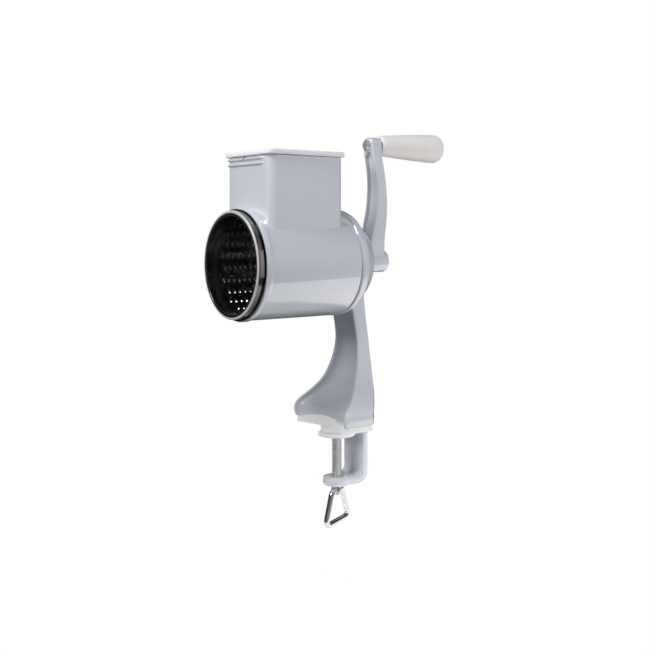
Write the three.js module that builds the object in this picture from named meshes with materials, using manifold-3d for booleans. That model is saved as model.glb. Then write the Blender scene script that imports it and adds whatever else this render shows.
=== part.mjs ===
// Hand-cranked nut grinder with a perforated drum, a square hopper and a table clamp.
// Millimetres, +Z up. The origin is the middle of the sole face that rests on the table,
// on the clamp screw's axis. The drum's axis runs along Y and its mouth faces -Y.
import * as THREE from 'three';
import { mergeVertices } from 'three/addons/utils/BufferGeometryUtils.js';
import Module from 'manifold-3d';

const wasm = await Module();
wasm.setup();

// Clearances and facets
const gap = 0.3;                     // between pieces that rest on or run in each other
const overrun = 2;                   // how far a cutter runs past the face it cuts
const roundSides = 40;               // facets of the drum, housing and bell
const smallSides = 18;               // facets of pads, bosses and the grip
const pinSides = 8;                  // facets of screws, rivets and bores

// Where the main axes lie
const axisHeight = 132.5;             // drum axis above the table
const seamY = -6.5;                  // rear face of the housing, from the clamp screw

// Housing and hopper
const housingLength = 86.2;
const housingWall = 2.4;
const housingEndWall = 2.4;
const beadLength = 5;                // thickened ring round the mouth
const beadHeight = 0.7;
const hopperInset = 10.25;           // from the housing's side to the hopper's side
const hopperRise = 82.4;             // rim above the drum axis
const hopperSetback = 9.1;           // from the mouth to the hopper's front wall
const hopperTail = 10;               // from the hopper's rear wall to the seam
const hopperWall = 2.2;
const hopperCorner = 4.5;
const ribHeight = 1.6;               // two ribs below the rim, round the front and the left side
const ribProud = 1.3;
const ribReach = 21;                 // how far they run towards the right corner
const ribDrop = 1.9;                 // rim to the middle of the first rib
const ribPitch = 4;
const notchWidth = 2.4;              // finger-nail notch in the front of the rim
const notchDepth = 2.6;
const notchX = -5.1;

// Pusher
const lidOverhang = 1.7;
const lidThickness = 4;
const lidBevel = 1.1;
const lidPlugDepth = 5;
const pusherPlay = 0.9;              // between the pusher box and the hopper's inner wall
const pusherWall = 2;
const pusherCorner = 3.2;
const pusherFloor = 2.4;
const nutGap = 6.4;                  // from the drum's teeth to the pusher's floor

// Drum
const drumRadius = 38;               // outside of the sheet
const drumPlay = 2.1;                // from the sheet to the housing's bore
const sheet = 0.8;
const toothRows = 24;
const teethPerRow = 13;
const toothHeight = 1.2;
const toothRootHalf = 1.55;          // half width of the opening at its root, along the axis
const toothLipHalf = 1.15;           // half width of the opening at its raised lip
const toothRoot = 1.9;               // from the tooth's middle to the root, round the drum
const toothLip = 1.3;                // from the tooth's middle to the lip, round the drum
const toothTail = 4.4;               // from the tooth's middle to where its hood ends
const drumFrontMargin = 11.2;        // from the lip to the first teeth
const drumEndMargin = 8.9;           // plain band behind the last teeth
const drumBackSet = 5;               // from the hub's rear face to the back plate
const backPlate = 1;
const backRim = 4.2;                 // turned rim of the back plate

// Mouth collar
const collarReach = 6.6;             // how far the lip stands out of the housing
const collarBand = 2.9;              // depth of the channel outside the sheet
const collarFlangeProud = 1.1;
const collarFlange = 1.5;            // length of the flange along the axis
const collarSleeve = 0.8;
const collarTail = 4.2;              // sleeve behind the housing's front face
const lipWidth = 1.5;                // rolled edge, along the axis
const strapLength = 20;              // joint strap, round the collar
const strapThickness = 0.7;
const strapRise = 2.8;               // degrees from level to the middle of the strap

// Drive
const shaftRadius = 5;
const shaftSquare = 7;
const shaftCollarRadius = 7;
const shaftCollar = 2;
const drumSocket = 8;                // depth of the square socket in the drum hub
const hubFlangeRadius = 14;
const hubFlange = 2;
const hubBossRadius = 9;
const rivetRadius = 1.5;
const rivetHeadRadius = 2.6;
const rivetHead = 0.9;
const rivetCircle = 11.6;
const rivetCount = 3;
const bushWall = 1.9;
const bushFlangeRadius = 9.6;
const bushFlange = 1.2;
const tubeWall = 3.4;                // bearing tube in the bell
const tubeNose = 4;                  // tube in front of the bell's seam
const tubeTail = 25.2;               // rear end of the tube, from the clamp screw
const thrustRadius = 9.5;
const thrustWasher = 1;

// Bell, from its seam to its back
const bellProud = 0.5;               // bell outside the housing
const bellLand = 1.5;                // straight rim beside the seam
const bellDepth = 27.7;
const bellWall = 3.2;
const bellStepDepth = 10.2;          // where the first tier ends
const bellStepIn = 4.7;              // how much the first tier closes
const bellStep = 1;
const bellBackRadius = 15;
const bellTierSteps = 4;
const bellShares = [[0, 1], [0.24, 0.88], [0.45, 0.77], [0.62, 0.66], [0.79, 0.49], [0.92, 0.29], [1, 0]];
const bellBossRadius = 12.4;
const postRadius = 4.4;
const postInset = 15.5;              // from the housing's side to the posts' axes
const postCount = 3;
const bodyScrewRadius = 1.6;
const bodyScrewHeadRadius = 3.4;
const bodyScrewHead = 1.8;
const bodyScrewLength = 13;

// Leg and foot. Each level has shares of the leg's height and of the sizes above the list.
const soleThickness = 4.6;
const legHeight = 113.3;              // from the sole to inside the bell
const legHalf = 14.6;                // half width of the leg below the bell
const footHalf = 36.7;               // half width over the toes
const legFront = 8.8;
const footFront = -17.8;
const legSideRear = 21.4;
const footSideRear = 8.4;
const legBack = 25;
const legBackHalf = 9;
const footBackHalf = 13;
const legRim = 3.2;                  // thickness of the rims beside the scoop
const scoopDeep = 17.6;              // back of the scoop up the leg
const scoopShallow = -11;            // front edge of the scoop at the foot
const scoopSteps = 8;
// height, half width, front, rear of the sides, back, scoop
const legShares = [
  [0, 0.95, 0.97, 0.92, 0.88, 1],
  [0.036, 1, 1, 0.96, 0.89, 0.98],
  [0.08, 0.99, 0.98, 1, 0.9, 0.97],
  [0.12, 0.93, 0.86, 0.85, 0.93, 0.62],
  [0.174, 0.75, 0.59, 0.6, 0.96, 0.4],
  [0.228, 0.55, 0.4, 0.36, 0.98, 0.26],
  [0.282, 0.38, 0.26, 0.19, 0.97, 0.16],
  [0.39, 0.2, 0.09, 0.08, 0.96, 0.05],
  [0.498, 0.08, 0, 0.06, 0.95, 0],
  [0.606, 0.01, 0, 0.11, 0.92, 0.02],
  [0.8, 0, 0.14, 0.32, 0.79, 0.34],
  [1, 0, 0.3, 0.5, 0.68, 0.45],
];
const soleHalf = 35.2;
const soleToe = 5;                   // corner radius of the toes
const soleBow = 6;                   // how far the front edge curves in between the toes
const soleSide = 9.4;                // rear end of the sole's sides
const archHalf = 30;                 // raised front of the sole, under the foot's arch
const archRise = 4.4;
const archDepth = 12;
const archSteps = 8;

// Clamp frame
const armHalf = 13;
const spineFront = 16.6;
const spineRear = 22;
const spineTop = 14;                 // the spine runs this far up into the foot
const jawOpening = 41.5;             // sole to the lower arm
const jawThickness = 6.5;
const jawTaper = 1.4;                // the lower arm's underside rises this much to the rear
const jawCorner = 5;
const jawFillet = 2.5;
const jawWaist = 8.2;                // pulls the lower arm's sides in between the boss and the spine
const bossRadius = 11.2;
const bossSteps = 10;

// Clamp screw, pad and bail
const screwRadius = 4;
const journalRadius = 2.6;
const padRadius = 15;
const padThickness = 3.2;
const faceRadius = 13;
const faceThickness = 4.4;
const facePocket = 3.2;
const facePocketRadius = 6.4;
const padWasherRadius = 5.6;
const padWasher = 1;
const swageRadius = 3.8;
const swage = 1;
const eyeRadius = 4.4;
const eyeThickness = 4;
const bailWire = 2.4;                // wire radius
const bailTurn = 25;                // degrees the bail stands round from the drum's axis
const bailTopHalf = 7.5;
const bailBaseHalf = 18.6;
const bailDrop = 25.5;
const bailTopCorner = 4;
const bailBaseCorner = 5.5;
const bailSides = 8;

// Crank. Each level has shares of the crank's radius, half width, bow and depth.
const crankRadius = 96.9;
const crankHubRadius = 9.3;
const crankHubLength = 21.1;
const crankHubBevel = 1.2;
const crankHalf = 8.8;
const crankBow = 10;                 // how far the arm bows away from the housing
const crankDepth = 17;
const crankEyeRadius = 6.4;
const crankShares = [
  [0, 0.95, 0, 1],
  [0.165, 0.86, 0.32, 0.85],
  [0.25, 0.9, 0.44, 0.81],
  [0.33, 0.95, 0.64, 0.74],
  [0.41, 0.98, 0.84, 0.64],
  [0.49, 0.97, 0.96, 0.59],
  [0.575, 0.95, 1, 0.55],
  [0.66, 0.9, 1, 0.52],
  [0.74, 0.86, 0.93, 0.51],
  [0.82, 0.81, 0.8, 0.53],
  [0.9, 0.78, 0.63, 0.54],
  [1, 0.77, 0.46, 0.64],
];
const crankEdge = 1.6;               // bevel along the arm
const channelDepth = 3;
const channelRim = 1.9;
const channelFoot = 15;              // where the channel starts, above the drum's axis
const channelStop = 6.1;             // from where it ends to the eye
const channelSteps = 5;
const shaftGrasp = 14;               // square of the shaft inside the crank hub
const counterbore = 3.2;
const crankScrewHeadRadius = 4.8;
const crankScrewHead = 2.4;
const crankScrewRadius = 2.2;
const crankScrewLength = 12;

// Grip. Its profile has shares of its length and of the rise from its inner to its outer radius.
const gripLength = 66;
const gripInnerRadius = 8.4;
const gripOuterRadius = 12.2;
const gripShares = [
  [0, -0.3], [0.015, 0], [0.17, 0.24], [0.36, 0.49], [0.53, 0.7], [0.72, 0.88], [0.86, 1], [0.93, 0.93],
  [0.975, 0.62], [1, -0.2],
];
const gripWasher = 0.8;
const gripWasherRadius = 6.2;
const gripScrewRadius = 2.4;
const gripScrewHeadRadius = 4.4;
const gripScrewHead = 2.2;
const gripScrewLength = 46;

// Finishes
const finishes = {
  body: { color: 0xd9dee8, roughness: 0.25, metalness: 0 },
  white: { color: 0xf1f2f4, roughness: 0.35, metalness: 0 },
  grip: { color: 0xefece9, roughness: 0.4, metalness: 0 },
  drum: { color: 0x8b8a88, roughness: 0.25, metalness: 1 },
  polished: { color: 0xb9bbbf, roughness: 0.12, metalness: 1 },
  steel: { color: 0xa4a6a8, roughness: 0.3, metalness: 1 },
  brass: { color: 0xb59a5b, roughness: 0.4, metalness: 1 },
  chrome: { color: 0xd6d8db, roughness: 0.08, metalness: 1 },
};

// Places worked out from the sizes
const housingBore = drumRadius + drumPlay;
const housingRadius = housingBore + housingWall;
const bellRadius = housingRadius + bellProud;
const bellStepRadius = bellRadius - bellStepIn;
const postCircle = housingRadius - postInset;
const collarBandRadius = drumRadius + gap + collarBand;
const collarFlangeRadius = collarBandRadius + collarFlangeProud;
const housingFront = seamY - housingLength;
const lipY = housingFront - collarReach;
const hopperWidth = 2 * (housingRadius - hopperInset);
const hopperDepth = housingLength - hopperSetback - hopperTail;
const hopperY = housingFront + hopperSetback + hopperDepth / 2;
const tubeFront = seamY - tubeNose;
const bushRadius = shaftRadius + gap + bushWall;
const tubeRadius = bushRadius + gap + tubeWall;
const bushFront = tubeFront - gap - bushFlange;
const shaftCollarFront = bushFront - gap - shaftCollar;
const hubRear = shaftCollarFront - gap;
const backPlateY = hubRear - drumBackSet;
const sheetStart = lipY + lipWidth / 3;
const sheetEnd = backPlateY + backRim + gap;
const teethStart = lipY + drumFrontMargin;
const toothPitch = (sheetEnd - drumEndMargin - teethStart) / (teethPerRow + 0.5);
const crankHubFront = tubeTail + gap + thrustWasher + gap;
const crankHubRear = crankHubFront + crankHubLength;
const crankEyeFront = crankHubFront + crankBow * crankShares.at(-1)[2];
const crankEyeRear = crankEyeFront + crankDepth * crankShares.at(-1)[3];
const footBottom = soleThickness + gap;
const faceTop = -gap;
const faceBottom = faceTop - faceThickness;
const padTop = faceBottom - gap;
const padBottom = padTop - padThickness;
const bossTop = -jawOpening;
const bossBottom = bossTop - jawThickness;
const eyeZ = bossBottom - gap - eyeRadius;
const gripStart = crankEyeRear + gap + gripWasher + gap;
const channelHead = crankRadius - channelStop;
const toothTop = drumRadius + toothHeight;
const endWallFront = seamY - housingEndWall;
const rimZ = hopperRise;
const hopperInside = [hopperWidth - 2 * hopperWall, hopperDepth - 2 * hopperWall];

// A closed geometry as a solid that can be joined and cut
function solidOf(geometry) {
  const plain = new THREE.BufferGeometry();
  plain.setAttribute('position', geometry.getAttribute('position').clone());
  if (geometry.index) plain.setIndex(geometry.index.clone());
  const merged = mergeVertices(plain, 1e-4);
  const points = merged.getAttribute('position').array;
  const corners = merged.index.array;
  const kept = [];
  let volume = 0;
  for (let i = 0; i < corners.length; i += 3) {
    const [a, b, c] = [corners[i], corners[i + 1], corners[i + 2]];
    if (a === b || b === c || c === a) continue;
    kept.push(a, b, c);
    const [p, q, r] = [a, b, c].map((n) => new THREE.Vector3().fromArray(points, n * 3));
    volume += p.dot(q.cross(r));
  }
  if (volume < 0) kept.reverse();
  return new wasm.Manifold(new wasm.Mesh({
    numProp: 3,
    vertProperties: new Float32Array(points),
    triVerts: new Uint32Array(kept),
  }));
}

// A solid back as a geometry
function geometryOf(solid) {
  const mesh = solid.getMesh();
  const geometry = new THREE.BufferGeometry();
  geometry.setAttribute('position', new THREE.BufferAttribute(mesh.vertProperties, mesh.numProp));
  geometry.setIndex(new THREE.BufferAttribute(mesh.triVerts, 1));
  geometry.computeVertexNormals();
  return geometry;
}

function join(...solids) {
  return solids.reduce((sum, next) => sum.add(next));
}

function cut(solid, ...tools) {
  return tools.reduce((rest, tool) => rest.subtract(tool), solid);
}

// A revolved solid about Y from [radius, y] pairs; the profile closes on itself or on the axis
function turned(profile, sides) {
  const points = profile.map(([radius, y]) => new THREE.Vector2(radius, y));
  const onAxis = profile[0][0] === 0 && profile[profile.length - 1][0] === 0;
  if (!onAxis) points.push(points[0].clone());
  return solidOf(new THREE.LatheGeometry(points, sides));
}

function rodY(radius, from, to, sides) {
  return turned([[0, from], [radius, from], [radius, to], [0, to]], sides);
}

function ringY(inner, outer, from, to, sides) {
  return turned([[inner, from], [outer, from], [outer, to], [inner, to]], sides);
}

// The same, standing on Z
function upright(solid) {
  return solid.rotate([90, 0, 0]);
}

function rodZ(radius, from, to, sides) {
  return upright(rodY(radius, from, to, sides));
}

// An outline in X and Y, raised from one height to another
function plate(shape, from, to, steps = 4) {
  const geometry = new THREE.ExtrudeGeometry(shape, {
    depth: to - from, bevelEnabled: false, curveSegments: steps,
  });
  geometry.translate(0, 0, from);
  return solidOf(geometry);
}

// An outline in Y and Z, run along X between two places
function slabX(shape, from, to, steps = 4) {
  const geometry = new THREE.ExtrudeGeometry(shape, {
    depth: to - from, bevelEnabled: false, curveSegments: steps,
  });
  geometry.translate(0, 0, from);
  const turn = new THREE.Matrix4().makeBasis(
    new THREE.Vector3(0, 1, 0), new THREE.Vector3(0, 0, 1), new THREE.Vector3(1, 0, 0));
  return solidOf(geometry.applyMatrix4(turn));
}

function box(from, to) {
  const size = to.map((value, i) => value - from[i]);
  const geometry = new THREE.BoxGeometry(...size);
  geometry.translate(...from.map((value, i) => value + size[i] / 2));
  return solidOf(geometry);
}

// A rectangle with round corners about a middle
function roundedRectangle(width, depth, corner, x = 0, y = 0) {
  const shape = new THREE.Shape();
  const [w, d] = [width / 2, depth / 2];
  shape.moveTo(x - w + corner, y - d);
  shape.lineTo(x + w - corner, y - d);
  shape.absarc(x + w - corner, y - d + corner, corner, -Math.PI / 2, 0);
  shape.lineTo(x + w, y + d - corner);
  shape.absarc(x + w - corner, y + d - corner, corner, 0, Math.PI / 2);
  shape.lineTo(x - w + corner, y + d);
  shape.absarc(x - w + corner, y + d - corner, corner, Math.PI / 2, Math.PI);
  shape.lineTo(x - w, y - d + corner);
  shape.absarc(x - w + corner, y - d + corner, corner, Math.PI, Math.PI * 1.5);
  return shape;
}

// A solid through sections that all have the same number of points
function loft(sections) {
  const count = sections[0].length;
  const points = sections.flat();
  const corners = [];
  for (let level = 0; level + 1 < sections.length; level += 1) {
    for (let i = 0; i < count; i += 1) {
      const a = level * count + i;
      const b = level * count + (i + 1) % count;
      corners.push(a, b, b + count, a, b + count, a + count);
    }
  }
  const flat = (section) => section.map((p) => new THREE.Vector2(p.x, p.y));
  const last = (sections.length - 1) * count;
  for (const [a, b, c] of THREE.ShapeUtils.triangulateShape(flat(sections[0]), [])) {
    corners.push(c, b, a);
  }
  for (const [a, b, c] of THREE.ShapeUtils.triangulateShape(flat(sections.at(-1)), [])) {
    corners.push(last + a, last + b, last + c);
  }
  const geometry = new THREE.BufferGeometry().setFromPoints(points);
  geometry.setIndex(corners);
  return solidOf(geometry);
}

// Copies of a solid set round the drum's axis
function aroundY(count, make) {
  return Array.from({ length: count }, (_, i) => make().rotate([0, 90 + (i * 360) / count, 0]));
}

const model = new THREE.Group();

function add(name, finish, shape, height = 0) {
  const geometry = shape.isBufferGeometry ? shape : geometryOf(shape);
  const mesh = new THREE.Mesh(geometry, new THREE.MeshStandardMaterial(finishes[finish]));
  mesh.name = name;
  mesh.position.z = height;
  model.add(mesh);
  return mesh;
}

// Housing: a drum case with a square hopper on top, in one moulding
function housing() {
  const beadRadius = housingRadius + beadHeight;
  const beadEnd = housingFront + beadLength;
  const barrel = turned([
    [0, housingFront], [beadRadius, housingFront], [beadRadius, beadEnd],
    [housingRadius, beadEnd + beadHeight], [housingRadius, seamY], [0, seamY],
  ], roundSides);
  const outline = roundedRectangle(hopperWidth, hopperDepth, hopperCorner, 0, hopperY);
  const tower = plate(outline, 0, rimZ);
  const inside = roundedRectangle(...hopperInside, hopperCorner - hopperWall, 0, hopperY);
  const chute = plate(inside, 0, rimZ + overrun);
  const bore = rodY(housingBore, housingFront - overrun, endWallFront, roundSides);
  const tubeHole = rodY(tubeRadius + gap, endWallFront - overrun, seamY + overrun, smallSides);
  const screwHole = () => rodY(bodyScrewRadius + gap, endWallFront - overrun, seamY + overrun, pinSides)
    .translate([0, 0, postCircle]);
  const ribs = [0, 1].map((i) => {
    const ribSide = hopperWidth / 2 + ribProud;
    const rib = roundedRectangle(
      ribSide + ribReach, hopperDepth + 2 * ribProud, hopperCorner, (ribReach - ribSide) / 2, hopperY);
    const middle = rimZ - ribDrop - i * ribPitch;
    return plate(rib, middle - ribHeight / 2, middle + ribHeight / 2);
  });
  const wallFront = hopperY - hopperDepth / 2;
  const notch = box(
    [notchX - notchWidth / 2, wallFront - overrun, rimZ - notchDepth],
    [notchX + notchWidth / 2, wallFront + hopperWall + overrun, rimZ + overrun]);
  return cut(join(barrel, tower, ...ribs), bore, chute, tubeHole, notch, ...aroundY(postCount, screwHole));
}

// A screw or rivet on the drum's axis: a head, then a shank
function headedPin(headRadius, headLength, radius, length, start) {
  return turned([
    [0, start], [headRadius, start], [headRadius, start + headLength],
    [radius, start + headLength], [radius, start + headLength + length], [0, start + headLength + length],
  ], pinSides);
}

function housingScrews() {
  const start = endWallFront - gap - bodyScrewHead;
  const screw = () => headedPin(bodyScrewHeadRadius, bodyScrewHead, bodyScrewRadius, bodyScrewLength, start)
    .translate([0, 0, postCircle]);
  return aroundY(postCount, screw);
}

// Pusher: a hollow box that follows the drum below, under a square plate with round edges
function pusherSize(shrink) {
  return hopperInside.map((size) => size - 2 * (pusherPlay + shrink));
}

function pusherBox() {
  const top = rimZ;
  const floorRadius = toothTop + nutGap;
  const block = plate(roundedRectangle(...pusherSize(0), pusherCorner, 0, hopperY), 0, top);
  const hollow = cut(
    plate(roundedRectangle(...pusherSize(pusherWall), pusherCorner - pusherWall, 0, hopperY), 0, top + overrun),
    rodY(floorRadius + pusherFloor, housingFront, seamY, roundSides));
  return cut(block, rodY(floorRadius, housingFront, seamY, roundSides), hollow);
}

function pusherLid() {
  const bottom = rimZ + gap;
  const plain = {
    depth: lidThickness - 2 * lidBevel, curveSegments: 4, bevelThickness: lidBevel,
    bevelSize: lidBevel, bevelOffset: -lidBevel, bevelSegments: 2,
  };
  const outline = roundedRectangle(
    hopperWidth + 2 * lidOverhang, hopperDepth + 2 * lidOverhang, hopperCorner, 0, hopperY);
  const top = new THREE.ExtrudeGeometry(outline, plain);
  top.translate(0, 0, bottom + lidBevel);
  const size = pusherSize(pusherWall + gap);
  const corner = pusherCorner - pusherWall - gap;
  const plug = plate(roundedRectangle(...size, corner, 0, hopperY), bottom - lidPlugDepth, bottom + lidBevel);
  return join(solidOf(top), plug);
}

// Drum sheet: staggered rows of punched teeth. Each tooth fills a diamond of the sheet, from the
// middles of its own row's webs to the rows beside it, with a hooded opening inside.
function drumSheet() {
  const rowAngle = (2 * Math.PI) / toothRows;
  const points = [];
  const corners = [];
  const known = new Map();
  const place = (radius, angle, y) => {
    points.push(new THREE.Vector3(radius * Math.sin(angle), y, radius * Math.cos(angle)));
    return points.length - 1;
  };
  const atRow = (side, row, halfPitches) => {
    const index = (row + toothRows) % toothRows;
    const key = [side, index, halfPitches].join();
    if (!known.has(key)) {
      const radius = side ? drumRadius : drumRadius - sheet;
      known.set(key, place(radius, (index + 0.5) * rowAngle, teethStart + (halfPitches * toothPitch) / 2));
    }
    return known.get(key);
  };
  const face = (side, ...corner) => corners.push(...(side ? corner : corner.reverse()));
  for (let row = 0; row < toothRows; row += 1) {
    const stagger = row % 2;
    for (let tooth = 0; tooth < teethPerRow; tooth += 1) {
      const middle = 2 * tooth + 1 + stagger;
      const holes = [0, 1].map((side) => {
        const base = side ? drumRadius : drumRadius - sheet;
        const spot = (around, along, lift) => place(
          base + lift, (row + 0.5) * rowAngle + around / drumRadius,
          teethStart + (middle * toothPitch) / 2 + along);
        const rootA = spot(-toothRoot, -toothRootHalf, 0);
        const rootB = spot(-toothRoot, toothRootHalf, 0);
        const lipA = spot(toothLip, -toothLipHalf, toothHeight);
        const lipB = spot(toothLip, toothLipHalf, toothHeight);
        const tail = spot(toothTail, 0, 0);
        const [near, far] = [atRow(side, row, middle - 1), atRow(side, row, middle + 1)];
        const [before, after] = [atRow(side, row - 1, middle), atRow(side, row + 1, middle)];
        face(side, before, rootB, rootA);
        face(side, before, rootA, near);
        face(side, before, far, rootB);
        face(side, near, rootA, lipA);
        face(side, far, lipB, rootB);
        face(side, near, lipA, tail);
        face(side, far, tail, lipB);
        face(side, lipA, lipB, tail);
        face(side, near, tail, after);
        face(side, far, after, tail);
        return [rootA, rootB, lipB, lipA];
      });
      for (let i = 0; i < 4; i += 1) {
        const [a, b] = [i, (i + 1) % 4];
        face(1, holes[1][a], holes[1][b], holes[0][b]);
        face(1, holes[1][a], holes[0][b], holes[0][a]);
      }
    }
  }
  // Plain bands before and after the teeth
  const bands = [[sheetStart, 0, 1], [sheetEnd, 2 * teethPerRow, 0]];
  for (const [end, edge, flip] of bands) {
    const rims = [0, 1].map((side) => Array.from({ length: toothRows }, (_, row) => place(
      side ? drumRadius : drumRadius - sheet, (row + 0.5) * rowAngle, end)));
    for (let row = 0; row < toothRows; row += 1) {
      const next = (row + 1) % toothRows;
      for (const side of [0, 1]) {
        const a = atRow(side, row, edge + (row % 2));
        const b = atRow(side, next, edge + (next % 2));
        face(side !== flip, rims[side][row], rims[side][next], b);
        face(side !== flip, rims[side][row], b, a);
      }
      face(1 - flip, rims[0][row], rims[0][next], rims[1][next]);
      face(1 - flip, rims[0][row], rims[1][next], rims[1][row]);
    }
  }
  const geometry = new THREE.BufferGeometry().setFromPoints(points);
  geometry.setIndex(corners);
  return solidOf(geometry);
}

// Mouth collar: a rolled channel round the sheet, with a flange before the housing
function drumCollar() {
  const inner = drumRadius + gap;
  const roll = lipWidth / 2;
  const flangeRear = housingFront - gap;
  const flangeFront = flangeRear - collarFlange;
  const tail = housingFront + collarTail;
  return turned([
    [inner, lipY + roll], [inner + roll, lipY], [collarBandRadius - roll, lipY],
    [collarBandRadius, lipY + roll], [collarBandRadius, flangeFront],
    [collarFlangeRadius, flangeFront + collarFlange / 3], [collarFlangeRadius, flangeRear],
    [inner + collarSleeve, flangeRear], [inner + collarSleeve, tail], [inner, tail],
    [inner, flangeRear - collarSleeve], [collarBandRadius - collarSleeve, flangeRear - collarSleeve],
    [collarBandRadius - collarSleeve, lipY + lipWidth], [inner, lipY + lipWidth],
  ], roundSides);
}

// Joint strap: a short curved plate across the collar's joint
function collarStrap() {
  const inner = collarBandRadius + gap;
  const outer = inner + strapThickness;
  const from = lipY + lipWidth;
  const to = housingFront - gap - collarFlange - gap;
  const half = strapLength / 2 / inner;
  const middle = THREE.MathUtils.degToRad(strapRise);
  const shape = new THREE.Shape();
  shape.absarc(0, 0, outer, middle - half, middle + half);
  shape.absarc(0, 0, inner, middle + half, middle - half, true);
  return plate(shape, -to, -from, 6).rotate([90, 0, 0]);
}

function drumBack() {
  const outer = drumRadius - sheet - gap;
  const rim = backPlateY + backRim;
  const cup = turned([
    [hubBossRadius + gap, backPlateY], [outer, backPlateY], [outer, rim], [outer - backPlate, rim],
    [outer - backPlate, backPlateY + backPlate], [hubBossRadius + gap, backPlateY + backPlate],
  ], toothRows).rotate([0, 180 / toothRows, 0]);
  return cut(cup, ...rivetHoles());
}

const hubFlangeFront = backPlateY + backPlate + gap;

function rivetHoles() {
  const hole = () => rodY(rivetRadius + gap, backPlateY - overrun, hubRear, pinSides)
    .translate([0, 0, rivetCircle]);
  return aroundY(rivetCount, hole);
}

function drumHub() {
  const front = hubRear - drumSocket - hubFlange;
  const side = shaftSquare / 2 + gap;
  const body = turned([
    [0, front], [hubBossRadius, front], [hubBossRadius, hubFlangeFront], [hubFlangeRadius, hubFlangeFront],
    [hubFlangeRadius, hubFlangeFront + hubFlange], [hubBossRadius, hubFlangeFront + hubFlange],
    [hubBossRadius, hubRear], [0, hubRear],
  ], smallSides);
  const socket = box([-side, hubRear - drumSocket, -side], [side, hubRear + overrun, side]);
  return cut(body, socket, ...rivetHoles());
}

function hubRivets() {
  const front = backPlateY - gap - rivetHead;
  const rear = hubFlangeFront + hubFlange + gap + rivetHead;
  const rivet = () => turned([
    [0, front], [rivetHeadRadius, front], [rivetHeadRadius, front + rivetHead],
    [rivetRadius, front + rivetHead], [rivetRadius, rear - rivetHead],
    [rivetHeadRadius, rear - rivetHead], [rivetHeadRadius, rear], [0, rear],
  ], pinSides).translate([0, 0, rivetCircle]);
  return aroundY(rivetCount, rivet);
}

// Drive shaft: squared for the drum and the crank, round in the bush, with a collar between
function driveShaft() {
  const half = shaftSquare / 2;
  const squareFront = hubRear - drumSocket + gap;
  const squareRear = crankHubFront + shaftGrasp;
  const collar = rodY(shaftCollarRadius, shaftCollarFront, bushFront - gap, smallSides);
  const round = rodY(shaftRadius, bushFront - gap - shaftCollar / 2, crankHubFront, smallSides);
  const square = box([-half, squareFront, -half], [half, squareRear, half]);
  const tapped = rodY(
    crankScrewRadius + gap, crankHubRear - counterbore - crankScrewLength, squareRear + overrun, pinSides);
  return cut(join(collar, round, square), tapped);
}

function shaftBush() {
  const inner = shaftRadius + gap;
  return turned([
    [inner, bushFront], [bushFlangeRadius, bushFront], [bushFlangeRadius, bushFront + bushFlange],
    [bushRadius, bushFront + bushFlange], [bushRadius, tubeTail], [inner, tubeTail],
  ], smallSides);
}

function thrustRing() {
  return ringY(shaftRadius + gap, thrustRadius, tubeTail + gap, tubeTail + gap + thrustWasher, smallSides);
}

// Bell outline: two tiers that close towards the back; inset moves it inwards for the hollow
function bellOutline(inset) {
  const seam = seamY + gap;
  const points = [];
  for (let i = 0; i <= bellTierSteps; i += 1) {
    const turn = (i / bellTierSteps) * (Math.PI / 2);
    const radius = bellStepRadius + (bellRadius - bellStepRadius) * Math.cos(turn);
    points.push([radius, seam + bellLand + (bellStepDepth - bellLand) * Math.sin(turn)]);
  }
  const second = bellStepRadius - bellStep;
  for (const [along, across] of bellShares) {
    points.push([
      bellBackRadius + (second - bellBackRadius) * across,
      seam + bellStepDepth + bellStep + (bellDepth - bellStepDepth - bellStep) * along,
    ]);
  }
  return points.map(([radius, y]) => [radius - inset, y - inset]);
}

// Leg: levels from the sole up, each a rounded back with two rims round a scooped front
function legSection([height, width, front, side, back, scoop]) {
  const mix = (from, to, share) => from + (to - from) * share;
  const half = mix(legHalf, footHalf, width);
  const frontY = mix(legFront, footFront, front);
  const sideY = mix(legSideRear, footSideRear, side);
  const backY = legBack * back;
  const backHalf = mix(legBackHalf, footBackHalf, width);
  const scoopY = mix(scoopDeep, scoopShallow, scoop);
  const z = footBottom + height * legHeight;
  const shoulder = [mix(half, backHalf, 0.35), mix(sideY, backY, mix(0.65, 0.5, width))];
  const right = [[half, frontY], [half, sideY], shoulder, [backHalf, backY]];
  const left = right.map(([x, y]) => [-x, y]).reverse();
  const inner = half - legRim;
  const hollow = [];
  for (let i = 0; i <= scoopSteps; i += 1) {
    const turn = Math.PI * (i / scoopSteps - 0.5);
    hollow.push([inner * Math.sin(turn), frontY + (scoopY - frontY) * Math.cos(turn)]);
  }
  return [...right, ...left, ...hollow].map(([x, y]) => new THREE.Vector3(x, y, z));
}

// Raised part of the sole under the foot's arch, grown by a clearance for the cut in the foot
function arch(grow) {
  const rise = archRise + grow;
  const half = archHalf + grow;
  const radius = (half ** 2 + rise ** 2) / (2 * rise);
  const reach = Math.asin(half / radius);
  const shape = new THREE.Shape();
  shape.moveTo(-half, 0);
  shape.lineTo(half, 0);
  shape.absarc(0, soleThickness + rise - radius, radius, Math.PI / 2 - reach, Math.PI / 2 + reach);
  const rear = footFront + soleBow + archDepth + grow;
  return plate(shape, -rear, overrun - footFront, archSteps).rotate([90, 0, 0]);
}

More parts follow.
